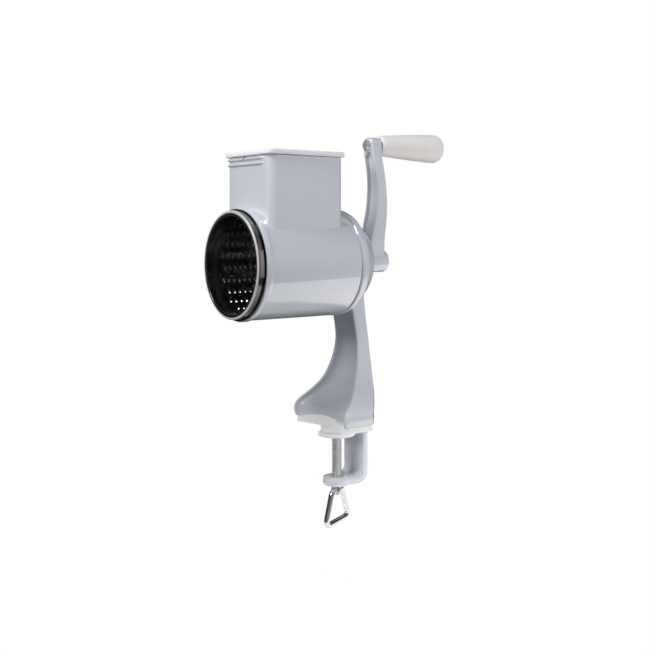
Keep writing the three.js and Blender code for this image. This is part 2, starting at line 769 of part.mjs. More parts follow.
function soleOutline() {
  const rear = spineFront - gap;
  const front = footFront + gap;
  const shape = new THREE.Shape();
  shape.moveTo(armHalf, rear);
  shape.lineTo(-armHalf, rear);
  shape.lineTo(-soleHalf, soleSide);
  shape.lineTo(-soleHalf, front + soleToe);
  shape.absarc(-soleHalf + soleToe, front + soleToe, soleToe, Math.PI, Math.PI * 1.5);
  shape.quadraticCurveTo(0, front + 2 * soleBow, soleHalf - soleToe, front);
  shape.absarc(soleHalf - soleToe, front + soleToe, soleToe, Math.PI * 1.5, Math.PI * 2);
  shape.lineTo(soleHalf, soleSide);
  return shape;
}

function footSole() {
  const above = box(
    [-footHalf, footFront - overrun, soleThickness],
    [footHalf, spineRear, soleThickness + archRise + overrun]);
  return cut(plate(soleOutline(), 0, soleThickness + archRise), cut(above, arch(0)));
}

// Clamp frame: a spine behind the table edge and a lower arm with the screw's boss
function clampFrame() {
  const side = new THREE.Shape();
  side.moveTo(-bossRadius, bossBottom);
  side.lineTo(0, bossBottom);
  side.lineTo(spineRear - jawCorner, bossBottom + jawTaper);
  side.absarc(spineRear - jawCorner, bossBottom + jawTaper + jawCorner, jawCorner, -Math.PI / 2, 0);
  side.lineTo(spineRear, spineTop);
  side.lineTo(spineFront, spineTop);
  side.lineTo(spineFront, bossTop + jawFillet);
  side.absarc(spineFront - jawFillet, bossTop + jawFillet, jawFillet, 0, -Math.PI / 2, true);
  side.lineTo(-bossRadius, bossTop);
  const plan = new THREE.Shape();
  plan.moveTo(armHalf, spineFront);
  plan.lineTo(armHalf, spineRear);
  plan.lineTo(-armHalf, spineRear);
  plan.lineTo(-armHalf, spineFront);
  plan.quadraticCurveTo(-jawWaist, spineFront / 2, -bossRadius, 0);
  plan.absarc(0, 0, bossRadius, Math.PI, Math.PI * 2);
  plan.quadraticCurveTo(jawWaist, spineFront / 2, armHalf, spineFront);
  return slabX(side, -armHalf, armHalf).intersect(plate(plan, bossBottom, spineTop, bossSteps));
}

function stand() {
  const seam = seamY + gap;
  const outside = bellOutline(0);
  const bell = turned([[0, seam], [bellRadius, seam], ...outside, [0, outside.at(-1)[1]]], roundSides);
  const hollowLine = bellOutline(bellWall).filter(([radius], i) => i % 2 === 0 && radius > tubeRadius);
  const hollow = turned([
    [tubeRadius, seam - overrun], [bellRadius - bellWall, seam - overrun], ...hollowLine,
    [tubeRadius, hollowLine.at(-1)[1]],
  ], roundSides);
  const tube = rodY(tubeRadius, tubeFront, tubeTail, smallSides);
  const boss = rodY(bellBossRadius, seam + bellDepth / 2, tubeTail, smallSides);
  const post = () => rodY(postRadius, seam, seam + bellDepth, pinSides).translate([0, 0, postCircle]);
  const pilot = () => rodY(bodyScrewRadius + gap, seam - overrun, seam + bodyScrewLength, pinSides)
    .translate([0, 0, postCircle]);
  const posts = join(...aroundY(postCount, post)).intersect(bell);
  const bore = rodY(bushRadius + gap, tubeFront - overrun, tubeTail + overrun, smallSides);
  const lift = (solid) => solid.translate([0, 0, axisHeight]);
  const leg = loft(legShares.map(legSection));
  const shell = join(cut(join(lift(bell), leg), lift(hollow)), lift(join(tube, boss, posts)), clampFrame());
  const screwHole = rodZ(screwRadius + gap, bossBottom - overrun, bossTop + overrun, smallSides);
  return cut(shell, lift(bore), ...aroundY(postCount, pilot).map(lift), arch(gap), screwHole);
}

// Crank arm: levels from the drum's axis to the eye; inset shrinks it for the channel
function crankSection([height, width, bow, depth], inset = 0) {
  const half = crankHalf * width - inset;
  const front = crankHubFront + crankBow * bow;
  const rear = inset ? front + channelDepth : front + crankDepth * depth;
  const start = inset ? front - overrun : front;
  const edge = inset ? 0 : crankEdge;
  const corners = [
    [half - edge, start], [half, start + edge], [half, rear - edge], [half - edge, rear],
    [edge - half, rear], [-half, rear - edge], [-half, start + edge], [edge - half, start],
  ];
  return corners.map(([x, y]) => new THREE.Vector3(x, y, height * crankRadius));
}

// Shares of the crank at any height, between two levels of the list
function crankAt(z) {
  const share = z / crankRadius;
  const above = crankShares.findIndex(([height]) => height >= share);
  const [low, high] = [crankShares[above - 1], crankShares[above]];
  const along = (share - low[0]) / (high[0] - low[0]);
  return low.map((value, i) => value + (high[i] - value) * along);
}

function crankArm() {
  const arm = loft(crankShares.map((shares) => crankSection(shares)));
  const eye = rodY(crankEyeRadius, crankEyeFront, crankEyeRear, smallSides).translate([0, 0, crankRadius]);
  const hub = turned([
    [0, crankHubFront], [crankHubRadius, crankHubFront], [crankHubRadius, crankHubRear - crankHubBevel],
    [crankHubRadius - crankHubBevel, crankHubRear], [0, crankHubRear],
  ], smallSides);
  const headRadius = crankHalf * crankAt(channelHead)[1] - channelRim;
  const straightEnd = channelHead - headRadius;
  const levels = [channelFoot];
  for (const [height] of crankShares) {
    const z = height * crankRadius;
    if (z > channelFoot && z < straightEnd) levels.push(z);
  }
  const sections = levels.map((z) => crankSection(crankAt(z), channelRim));
  for (let i = 0; i < channelSteps; i += 1) {
    const turn = (i / channelSteps) * (Math.PI / 2);
    const z = straightEnd + headRadius * Math.sin(turn);
    sections.push(crankSection(crankAt(z), channelRim + headRadius * (1 - Math.cos(turn))));
  }
  const channel = loft(sections);
  const side = shaftSquare / 2 + gap;
  const socket = box([-side, crankHubFront - overrun, -side], [side, crankHubFront + shaftGrasp + gap, side]);
  const screwHole = rodY(crankScrewRadius + gap, crankHubFront, crankHubRear + overrun, pinSides);
  const headHole = rodY(
    crankScrewHeadRadius + gap, crankHubRear - counterbore, crankHubRear + overrun, smallSides);
  const eyeHole = rodY(gripScrewRadius + gap, crankEyeFront - overrun, crankEyeRear + overrun, pinSides)
    .translate([0, 0, crankRadius]);
  return cut(join(cut(join(arm, eye), channel), hub), socket, screwHole, headHole, eyeHole);
}

function crankScrew() {
  const headFront = crankHubRear - counterbore + gap;
  return turned([
    [0, headFront - crankScrewLength], [crankScrewRadius, headFront - crankScrewLength],
    [crankScrewRadius, headFront], [crankScrewHeadRadius, headFront],
    [crankScrewHeadRadius, headFront + crankScrewHead], [0, headFront + crankScrewHead],
  ], pinSides);
}

// Grip, on its own screw
function grip() {
  const profile = gripShares.map(([along, across]) => [
    gripInnerRadius + (gripOuterRadius - gripInnerRadius) * across, gripStart + gripLength * along,
  ]);
  const bore = gripScrewRadius + gap;
  const boreEnd = crankEyeFront - gap + gripScrewLength + 2 * gap;
  return turned([[bore, gripStart], ...profile, [0, gripStart + gripLength], [0, boreEnd], [bore, boreEnd]],
    smallSides);
}

function gripScrew() {
  return headedPin(gripScrewHeadRadius, gripScrewHead, gripScrewRadius, gripScrewLength,
    crankEyeFront - gap - gripScrewHead);
}

// Clamp screw: a plain rod for the thread, a journal in the pad and a flat eye for the bail
function clampScrew() {
  const journalTop = padTop + gap + padWasher + gap;
  const rod = upright(turned([
    [0, eyeZ], [screwRadius - gap, eyeZ], [screwRadius - gap, bossBottom - gap], [screwRadius, bossBottom],
    [screwRadius, padBottom - gap], [journalRadius, padBottom - gap], [journalRadius, journalTop],
    [swageRadius, journalTop], [swageRadius, journalTop + swage], [0, journalTop + swage],
  ], smallSides));
  const flat = eyeThickness / 2;
  const tab = rodY(eyeRadius, -flat, flat, smallSides).translate([0, 0, eyeZ]);
  const sides = [-1, 1].map((way) => box(
    [-eyeRadius - overrun, way > 0 ? flat : -eyeRadius - overrun, eyeZ - eyeRadius - overrun],
    [eyeRadius + overrun, way > 0 ? eyeRadius + overrun : -flat, bossBottom - gap]));
  const hole = rodY(bailWire + gap, -eyeRadius, eyeRadius, smallSides).translate([0, 0, eyeZ]);
  return cut(join(rod, tab), ...sides, hole).rotate([0, 0, bailTurn]);
}

// Bail: one closed loop of wire through the eye
function bail() {
  const top = eyeZ;
  const bottom = eyeZ - bailDrop;
  const loop = [
    [bailTopHalf, top, bailTopCorner], [-bailTopHalf, top, bailTopCorner],
    [-bailBaseHalf, bottom, bailBaseCorner], [bailBaseHalf, bottom, bailBaseCorner],
  ];
  const path = [];
  loop.forEach(([y, z, corner], i) => {
    const here = new THREE.Vector2(y, z);
    const [before, after] = [loop.at(i - 1), loop[(i + 1) % loop.length]]
      .map(([otherY, otherZ]) => new THREE.Vector2(otherY, otherZ).sub(here).setLength(corner).add(here));
    path.push(...new THREE.QuadraticBezierCurve(before, here, after).getPoints(4));
  });
  const points = [];
  const corners = [];
  path.forEach((spot, i) => {
    const run = path[(i + 1) % path.length].clone().sub(path.at(i - 1)).normalize();
    for (let side = 0; side < bailSides; side += 1) {
      const turn = (side / bailSides) * Math.PI * 2;
      const out = bailWire * Math.cos(turn);
      points.push(new THREE.Vector3(bailWire * Math.sin(turn), spot.x - run.y * out, spot.y + run.x * out));
      const next = (side + 1) % bailSides;
      const ahead = ((i + 1) % path.length) * bailSides;
      corners.push(i * bailSides + side, ahead + side, ahead + next);
      corners.push(i * bailSides + side, ahead + next, i * bailSides + next);
    }
  });
  const geometry = new THREE.BufferGeometry().setFromPoints(points);
  geometry.setIndex(corners);
  return solidOf(geometry).rotate([0, 0, bailTurn]);
}

// Pad: a steel disc under a moulded face that hides the screw's swaged end
function pressurePad() {
  return upright(ringY(journalRadius + gap, padRadius, padBottom, padTop, smallSides));
}

function padFace() {
  return cut(
    rodZ(faceRadius, faceBottom, faceTop, smallSides),
    rodZ(facePocketRadius, faceBottom - overrun, faceBottom + facePocket, smallSides));
}

function padRing() {
  const bottom = padTop + gap;
  return upright(ringY(journalRadius + gap, padWasherRadius, bottom, bottom + padWasher, smallSides));
}

add('stand', 'body', stand());
add('housing', 'body', housing(), axisHeight);
housingScrews().forEach((screw, i) => add(`housing_screw_${i + 1}`, 'steel', screw, axisHeight));
add('foot_sole', 'white', footSole());
add('shaft_bush', 'brass', shaftBush(), axisHeight);
add('pusher_box', 'body', pusherBox(), axisHeight);
add('pusher_lid', 'white', pusherLid(), axisHeight);
add('drum_sheet', 'drum', drumSheet(), axisHeight);
add('drum_collar', 'polished', drumCollar(), axisHeight);
add('collar_strap', 'polished', collarStrap(), axisHeight);
add('drum_back', 'drum', drumBack(), axisHeight);
add('drum_hub', 'steel', drumHub(), axisHeight);
hubRivets().forEach((rivet, i) => add(`hub_rivet_${i + 1}`, 'steel', rivet, axisHeight));
add('drive_shaft', 'steel', driveShaft(), axisHeight);
add('thrust_washer', 'white', thrustRing(), axisHeight);
add('crank_arm', 'body', crankArm(), axisHeight);
add('crank_screw', 'steel', crankScrew(), axisHeight);
add('grip', 'grip', grip(), axisHeight + crankRadius);
add('grip_screw', 'steel', gripScrew(), axisHeight + crankRadius);
add('grip_washer', 'steel', ringY(gripScrewRadius + gap, gripWasherRadius, crankEyeRear + gap,
  crankEyeRear + gap + gripWasher, smallSides), axisHeight + crankRadius);
add('clamp_screw', 'chrome', clampScrew());
add('bail', 'chrome', bail());
add('pressure_pad', 'chrome', pressurePad());
add('pad_face', 'white', padFace());
add('pad_washer', 'steel', padRing());

export default model;
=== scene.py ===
# %% [markdown]
# # A hand-cranked nut grinder
#
# The object is a drum grinder for nuts and hard cheese. A perforated steel drum turns in a pale plastic
# case, a square hopper feeds it from above, and a curved leg ends in a screw clamp for the table's edge.
#
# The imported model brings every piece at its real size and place. This file gives each one its finished
# surface. First the model is loaded and its box is written down, because nothing made here may grow it.

# %% Load the model
import bpy
import math
from mathutils import Matrix, Vector


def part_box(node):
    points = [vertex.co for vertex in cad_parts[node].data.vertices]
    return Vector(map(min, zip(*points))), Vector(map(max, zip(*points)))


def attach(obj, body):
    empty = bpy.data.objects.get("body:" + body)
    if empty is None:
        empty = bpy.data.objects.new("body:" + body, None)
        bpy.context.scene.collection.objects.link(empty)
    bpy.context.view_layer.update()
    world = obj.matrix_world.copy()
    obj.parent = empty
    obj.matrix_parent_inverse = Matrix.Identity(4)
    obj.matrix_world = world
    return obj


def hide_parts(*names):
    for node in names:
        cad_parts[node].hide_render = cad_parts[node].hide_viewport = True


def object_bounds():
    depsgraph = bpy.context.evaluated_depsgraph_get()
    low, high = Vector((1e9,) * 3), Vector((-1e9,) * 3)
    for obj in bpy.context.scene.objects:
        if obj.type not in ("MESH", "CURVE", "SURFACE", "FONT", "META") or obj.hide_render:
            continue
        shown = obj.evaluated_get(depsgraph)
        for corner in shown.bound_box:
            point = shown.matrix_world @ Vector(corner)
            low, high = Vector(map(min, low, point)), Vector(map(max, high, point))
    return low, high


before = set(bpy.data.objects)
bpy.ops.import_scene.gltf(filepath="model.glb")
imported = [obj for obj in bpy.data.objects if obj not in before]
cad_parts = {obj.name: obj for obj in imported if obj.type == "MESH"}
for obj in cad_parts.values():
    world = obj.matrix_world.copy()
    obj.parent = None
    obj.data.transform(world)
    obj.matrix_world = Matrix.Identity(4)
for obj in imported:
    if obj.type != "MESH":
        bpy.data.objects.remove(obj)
cad_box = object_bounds()

# %% [markdown]
# All sizes below are in millimetres, as a drawing of the grinder would give them, and `mm` turns them
# into Blender's metres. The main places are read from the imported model, so that a piece made here lands
# where its CAD node lies: the drum's axis, its mouth, the hopper's rim and the table face at height 0.

# %% Places read from the model
mm = 0.001


def node_box(name):
    low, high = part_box(name)
    return [value / mm for value in low], [value / mm for value in high]


def y_span(name):
    """Where a node starts and ends along the drum's axis."""
    low, high = node_box(name)
    return low[1], high[1]


collar_low, collar_high = node_box("drum_collar")
axis_height = (collar_low[2] + collar_high[2]) / 2
lip_y = collar_low[1]
case_front, seam_y = y_span("housing")
rim_height = node_box("housing")[1][2]
print("drum axis at", round(axis_height, 2), "mm, mouth at", round(lip_y, 2), "mm")

# %% [markdown]
# ## Working by hand, in code
#
# Blender's operators act on what is selected, so each step starts with nothing selected. These few
# helpers do what the hand does most: start a primitive, go into edit mode, apply a modifier, cut one
# piece with another, and at last name the finished piece, give it its finish and hide the CAD node it
# stands for.

# %% Helpers for modelling
CUT, FUSE, KEEP_COMMON = "DIFFERENCE", "UNION", "INTERSECT"


def select_only(*pieces):
    if bpy.context.mode != "OBJECT":
        bpy.ops.object.mode_set(mode="OBJECT")
    bpy.ops.object.select_all(action="DESELECT")
    for piece in pieces:
        piece.select_set(True)
    bpy.context.view_layer.objects.active = pieces[0] if pieces else None


def apply_transform(piece):
    select_only(piece)
    bpy.ops.object.transform_apply(location=True, rotation=True, scale=True)


def modify(piece, kind, **settings):
    select_only(piece)
    modifier = piece.modifiers.new(kind.title(), kind)
    for name, value in settings.items():
        setattr(modifier, name, value)
    bpy.ops.object.modifier_apply(modifier=modifier.name)


def combine(piece, operation, *tools):
    for tool in tools:
        modify(piece, "BOOLEAN", operation=operation, object=tool, solver="EXACT")
        bpy.data.objects.remove(tool)
    return piece


def round_edges(piece, width, angle=30, segments=3):
    modify(piece, "BEVEL", width=width * mm, segments=segments, limit_method="ANGLE",
           angle_limit=math.radians(angle), harden_normals=False, use_clamp_overlap=True)


def edit_all(piece):
    """Edit mode, with every point of the piece selected."""
    select_only(piece)
    bpy.ops.object.mode_set(mode="EDIT")
    bpy.ops.mesh.select_all(action="SELECT")


def clean(piece, distance=0.001):
    edit_all(piece)
    bpy.ops.mesh.remove_doubles(threshold=distance * mm)
    bpy.ops.mesh.normals_make_consistent(inside=False)
    bpy.ops.object.mode_set(mode="OBJECT")


def finish(piece, name, body, slot, material, nodes, angle=35):
    apply_transform(piece)
    bpy.ops.object.shade_smooth_by_angle(angle=math.radians(angle))
    piece.name = name
    piece.data.name = name
    piece.data.materials.clear()
    piece.data.materials.append(material)
    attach(piece, body)
    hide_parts(*nodes)
    print(f"{name}: {len(piece.data.polygons)} faces")


# %% [markdown]
# Many outlines below share a few parts: a plain cylinder, a round edge, and a soft corner between two
# straight runs. Each is a short list of points from its own small function.

# %% Parts of an outline
def straight(radius, start, end):
    """The profile of a plain cylinder."""
    return [(radius, start), (radius, end)]


def arc(middle, radii, turns):
    """Points round a middle, at the given angles in degrees."""
    return [(middle[0] + radii[0] * math.cos(math.radians(turn)),
             middle[1] + radii[1] * math.sin(math.radians(turn))) for turn in turns]


def soft_corner(start, corner, end, steps):
    """Points of a curve that leaves start towards the corner and turns off to end."""
    return [tuple((1 - t) ** 2 * a + 2 * t * (1 - t) * b + t ** 2 * c
                  for a, b, c in zip(start, corner, end))
            for t in (step / steps for step in range(steps + 1))]


# %% [markdown]
# Most of the grinder is round about the drum's axis or about the clamp screw. Such a piece starts as a
# circle. Its edge is extruded along the axis and scaled, again and again, until the whole profile is
# drawn, as one does by hand with E and S. A profile could also be spun, but rings made one by one keep
# the same number of points all the way. Blender's circle faces Z, so the piece is laid over afterwards
# for the drum's axis, which runs along Y.

# %% Turned pieces
ALONG_Y = Matrix.Rotation(math.radians(-90), 4, "X")


def turned(profile, sides=96, at=(0, 0, 0), along_y=True, closed=False):
    """A piece turned from (radius, place along the axis) pairs. An open profile gets flat ends."""
    select_only()
    radius, place = profile[0]
    bpy.ops.mesh.primitive_circle_add(vertices=sides, radius=radius * mm, fill_type="NOTHING",
                                      location=(0, 0, place * mm), enter_editmode=True)
    for next_radius, next_place in profile[1:] + (profile[:1] if closed else []):
        bpy.ops.mesh.extrude_edges_move(
            TRANSFORM_OT_translate={"value": (0, 0, (next_place - place) * mm)})
        scale = next_radius / radius
        bpy.ops.transform.resize(value=(scale, scale, 1), center_override=(0, 0, next_place * mm))
        radius, place = next_radius, next_place
    bpy.ops.mesh.select_all(action="SELECT")
    if not closed:
        bpy.ops.mesh.fill_holes(sides=0)
    bpy.ops.object.mode_set(mode="OBJECT")
    piece = bpy.context.object
    apply_transform(piece)
    clean(piece)
    turn = ALONG_Y if along_y else Matrix()
    piece.data.transform(Matrix.Translation(Vector(at) * mm) @ turn)
    return piece


def on_axis(profile, **settings):
    """A piece turned about the drum's axis."""
    return turned(profile, at=(0, 0, axis_height), **settings)


def upright(profile, **settings):
    """A piece turned about the clamp screw's axis."""
    return turned(profile, along_y=False, **settings)


# %% [markdown]
# The hopper, the pusher and its lid are boxes with round upright edges. Each starts as a cube at its
# size. Its four upright edges are picked by their direction and bevelled, and nothing else is touched.

# %% Boxes with round upright edges
def rounded_box(low, high, corner, segments=8):
    select_only()
    size = [(b - a) * mm for a, b in zip(low, high)]
    middle = [(a + b) / 2 * mm for a, b in zip(low, high)]
    bpy.ops.mesh.primitive_cube_add(size=1, location=middle, scale=size)
    piece = bpy.context.object
    apply_transform(piece)
    bpy.ops.object.mode_set(mode="EDIT")
    bpy.ops.mesh.select_mode(type="EDGE")
    bpy.ops.mesh.select_all(action="DESELECT")
    bpy.ops.object.mode_set(mode="OBJECT")
    for edge in piece.data.edges:
        a, b = (piece.data.vertices[i].co for i in edge.vertices)
        edge.select = abs(a.z - b.z) > abs(a.x - b.x) + abs(a.y - b.y)
    bpy.ops.object.mode_set(mode="EDIT")
    if corner:
        bpy.ops.mesh.bevel(offset=corner * mm, offset_type="OFFSET", segments=segments, affect="EDGES")
    bpy.ops.mesh.select_mode(type="VERT")
    bpy.ops.object.mode_set(mode="OBJECT")
    return piece


# %% [markdown]
# The leg and the crank change their section all the way along. For those a grid is added whose rows
# become the sections: its points are moved to their places, the open seam is merged, and the two ends
# are filled. The sections between the listed levels come from a smooth curve through them.

# %% Lofted pieces
def between_levels(levels, at):
    """The level at any height, on a smooth curve through the rows of a list."""
    last = len(levels) - 1
    index = min(max(sum(level[0] <= at for level in levels) - 1, 0), last - 1)
    start, end = levels[index], levels[index + 1]
    span = end[0] - start[0]
    along = (at - start[0]) / span
    before, after = levels[max(index - 1, 0)], levels[min(index + 2, last)]
    values = []
    for column in range(len(start)):
        slope_in = (end[column] - before[column]) / (end[0] - before[0]) * span
        slope_out = (after[column] - start[column]) / (after[0] - start[0]) * span
        a = 2 * along ** 3 - 3 * along ** 2 + 1
        b = along ** 3 - 2 * along ** 2 + along
        c = -2 * along ** 3 + 3 * along ** 2
        d = along ** 3 - along ** 2
        values.append(a * start[column] + b * slope_in + c * end[column] + d * slope_out)
    return values


def lofted(sections):
    count = len(sections[0])
    select_only()
    bpy.ops.mesh.primitive_grid_add(x_subdivisions=count, y_subdivisions=len(sections) - 1, size=1)
    piece = bpy.context.object
    for level, section in enumerate(sections):
        for i in range(count + 1):
            x, y, z = section[i % count]
            piece.data.vertices[level * (count + 1) + i].co = (x * mm, y * mm, z * mm)
    edit_all(piece)
    bpy.ops.mesh.remove_doubles(threshold=0.0001 * mm)
    bpy.ops.mesh.select_all(action="SELECT")
    bpy.ops.mesh.fill_holes(sides=0)
    bpy.ops.object.mode_set(mode="OBJECT")
    clean(piece, 0.0001)
    return piece


# %% [markdown]
# ## Finishes
#
# A shader is easier to read as a sum than as a web of nodes. `Signal` wraps one socket, so that
# `0.2 + grain * 0.05` adds the Math nodes by itself. `Finish` starts a material and adds any other
# node from its type, its sockets and its settings.

# %% Shader expressions
class Signal:
    def __init__(self, finish, socket):
        self.finish = finish
        self.socket = socket

    def math(self, operation, first, second):
        return self.finish.node("ShaderNodeMath", {0: first, 1: second}, operation=operation)

    def __add__(self, other):
        return self.math("ADD", self, other)

    def __radd__(self, other):
        return self.math("ADD", other, self)

    def __sub__(self, other):
        return self.math("SUBTRACT", self, other)

    def __rsub__(self, other):
        return self.math("SUBTRACT", other, self)

    def __mul__(self, other):
        return self.math("MULTIPLY", self, other)

    def __rmul__(self, other):
        return self.math("MULTIPLY", other, self)

    def parts(self):
        split = self.finish.nodes.new("ShaderNodeSeparateXYZ")
        self.finish.links.new(self.socket, split.inputs[0])
        return [Signal(self.finish, output) for output in split.outputs]


class Finish:
    """The nodes of one owner, which is a material or the world."""

    def __init__(self, owner):
        self.owner = owner
        owner.use_nodes = True
        self.nodes = owner.node_tree.nodes
        self.links = owner.node_tree.links
        self.nodes.clear()

    def node(self, kind, sockets=None, out=0, **settings):
        made = self.nodes.new(kind)
        for name, value in settings.items():
            setattr(made, name, value)
        for name, value in (sockets or {}).items():
            if isinstance(value, Signal):
                self.links.new(value.socket, made.inputs[name])
            else:
                made.inputs[name].default_value = value
        return Signal(self, made.outputs[out])

    def place(self):
        return self.node("ShaderNodeTexCoord", out="Object")

    def noise(self, vector, scale, detail=3, roughness=0.5):
        return self.node("ShaderNodeTexNoise", {
            "Vector": vector, "Scale": scale, "Detail": detail, "Roughness": roughness})

    def ramp(self, value, low, high):
        return self.node("ShaderNodeMapRange", {
            "Value": value, "From Min": low, "From Max": high, "To Min": 0.0, "To Max": 1.0})

    def mix(self, factor, first, second):
        return self.node("ShaderNodeMix", {0: factor, 6: first, 7: second}, out=2, data_type="RGBA")

    def bump(self, height, strength, distance):
        return self.node("ShaderNodeBump", {
            "Height": height, "Strength": strength, "Distance": distance * mm})

    def blend(self, factor, first, second):
        return self.node("ShaderNodeMixShader", {0: factor, 1: first, 2: second})

    def surface(self, sockets):
        return self.ends_in(self.node("ShaderNodeBsdfPrincipled", sockets))

    def ends_in(self, shader, ending="ShaderNodeOutputMaterial"):
        output = self.nodes.new(ending)
        self.links.new(shader.socket, output.inputs["Surface"])
        return self.owner


def grained(name, colour, darker, roughness, spread, scale, height,
            coat=0.0, metal=0.0, stretch=(1, 1, 1)):
    """A finish with a fine grain, a slow drift of colour and an uneven roughness.

    The roughness grows from the given one by spread and a half. Scale and height are the grain's.
    """
    made = Finish(bpy.data.materials.new(name))
    place = made.node("ShaderNodeMapping", {"Vector": made.place(), "Scale": stretch})
    slow = made.ramp(made.noise(place, scale / 12, 2), 0.3, 0.7)
    fine = made.noise(place, scale, 4, 0.6)
    return made.surface({
        "Base Color": made.mix(slow * 0.6 + fine * 0.4, (*darker, 1), (*colour, 1)),
        "Roughness": roughness + slow * spread + fine * spread * 0.5,
        "Metallic": metal,
        "Coat Weight": coat,
        "Coat Roughness": 0.05,
        "Coat IOR": 2.0,
        "Normal": made.bump(fine, 0.25, height),
    })


# %% [markdown]
# The case, the bell and the crank are moulded plastic of a cool, very pale blue-grey. The tool leaves a
# faint waviness in the surface, and a clear coat over it gives the crisp shine of a polished mould. The
# lid and the sole are whiter and less shiny, the grip is a warmer, satin off-white, and the clamp's pad
# is enamelled white. Each is one call of the same recipe with its own colours, grain and gloss.

# %% Plastics and enamel
case_plastic = grained("case_plastic", (0.69, 0.71, 0.775), (0.66, 0.68, 0.745),
                       roughness=0.18, spread=0.05, scale=260, height=0.012, coat=1.0)
lid_plastic = grained("lid_plastic", (0.88, 0.89, 0.90), (0.86, 0.865, 0.88),
                      roughness=0.3, spread=0.06, scale=700, height=0.01, coat=0.1)
sole_plastic = grained("sole_plastic", (0.95, 0.95, 0.955), (0.92, 0.92, 0.925),
                       roughness=0.5, spread=0.1, scale=1500, height=0.03)
grip_plastic = grained("grip_plastic", (0.87, 0.84, 0.82), (0.84, 0.81, 0.785),
                       roughness=0.36, spread=0.06, scale=1200, height=0.015)
pad_enamel = grained("pad_enamel", (0.94, 0.94, 0.95), (0.91, 0.91, 0.92),
                     roughness=0.3, spread=0.06, scale=900, height=0.012, coat=0.3)
pale = (case_plastic, lid_plastic, sole_plastic, grip_plastic, pad_enamel)
print("pale finishes:", ", ".join(made.name for made in pale))

# %% [markdown]
# The drum is bright-rolled stainless sheet, so its marks run round it in long thin streaks. A noise
# that is squeezed along the drum's axis gives such streaks. The screw is zinc plated, the bail is
# chromed and almost a mirror, and the shaft and hub are plain turned steel. The bush is sintered
# bronze, which is full of small pores that hold the oil.

# %% Metals
drum_steel = grained("drum_steel", (0.44, 0.43, 0.41), (0.32, 0.31, 0.295), roughness=0.12,
                     spread=0.14, scale=420, height=0.012, metal=1.0, stretch=(0.25, 3.2, 0.25))
bright_zinc = grained("bright_zinc", (0.92, 0.92, 0.91), (0.74, 0.74, 0.73),
                      roughness=0.14, spread=0.1, scale=500, height=0.01, metal=0.75)
chrome = grained("chrome", (0.82, 0.83, 0.85), (0.76, 0.77, 0.79),
                 roughness=0.03, spread=0.05, scale=240, height=0.003, metal=1.0)
turned_steel = grained("turned_steel", (0.62, 0.62, 0.63), (0.48, 0.48, 0.49),
                       roughness=0.2, spread=0.15, scale=600, height=0.01, metal=1.0)
sintered_bronze = grained("sintered_bronze", (0.52, 0.38, 0.18), (0.32, 0.22, 0.09),
                          roughness=0.34, spread=0.2, scale=2200, height=0.05, metal=1.0)
metals = (drum_steel, bright_zinc, chrome, turned_steel, sintered_bronze)
print("metals:", ", ".join(made.name for made in metals))

# %% [markdown]
# The band round the mouth is polished steel, and its tones are painted light and shade. The front lip
# gets a painted highlight, the edge beside the case a painted shade for its gap, and the underside a
# near-black painted reflection of a dark table. Masks made from the place along the axis, the distance
# from it and the height mix these tones.
# The strap over the band's joint is rougher, spot-welded steel.

# %% Band and strap
def band_finish(name, colour, darker):
    made = Finish(bpy.data.materials.new(name))
    place = made.place()
    _, y, z = place.parts()
    stretched = made.node("ShaderNodeMapping", {"Vector": place, "Scale": (0.3, 3.0, 0.3)})
    streaks = made.noise(stretched, 300, 4)
    from_axis = made.node("ShaderNodeMapping", {
        "Vector": place, "Location": (0, 0, -axis_height * mm), "Scale": (1, 0, 1)})
    radius = made.node("ShaderNodeVectorMath", {0: from_axis}, out=1, operation="LENGTH")
    # Mask for the front lip: a painted highlight in a light colour, with less metal and more roughness.
    lip_highlight = made.ramp(y, (lip_y + 1.0) * mm, (lip_y + 0.8) * mm) * made.ramp(radius, 39.3 * mm, 39.5 * mm)
    # Mask for the edge beside the case: painted shade for the gap there.
    rear = made.ramp(y, (case_front - 2.3) * mm, (case_front - 2.0) * mm)
    # Mask for the underside: a near-black painted reflection of a dark table.
    underside_reflection = made.ramp(z, axis_height * mm, (axis_height - 30) * mm)
    shade = made.mix(streaks, (*darker, 1), (*colour, 1))
    shade = made.mix(underside_reflection, shade, (0.05, 0.05, 0.05, 1))
    shade = made.mix(rear, shade, (0.02, 0.02, 0.02, 1))
    return made.surface({
        "Base Color": made.mix(lip_highlight, shade, (0.64, 0.62, 0.62, 1)),
        "Roughness": 0.1 + streaks * 0.1 + lip_highlight * 0.25,
        "Metallic": 1 - lip_highlight * 0.75,
        "Normal": made.bump(streaks, 0.2, 0.006),
    })


band_steel = band_finish("band_steel", (0.42, 0.41, 0.40), (0.28, 0.27, 0.26))
strap_steel = grained("strap_steel", (0.66, 0.63, 0.58), (0.40, 0.38, 0.34), roughness=0.3,
                      spread=0.1, scale=300, height=0.006, metal=0.75, stretch=(0.3, 3.0, 0.3))
print("mouth:", band_steel.name, "and", strap_steel.name)

# %% [markdown]
# ## The case
#
# The case is one moulding: a round drum case with a thicker bead round its mouth, and a square hopper
# that grows out of its top. The outside is a turned barrel and a tall rounded box, fused with a
# Boolean. The bead and the small edge radii are already in the profile of the barrel.

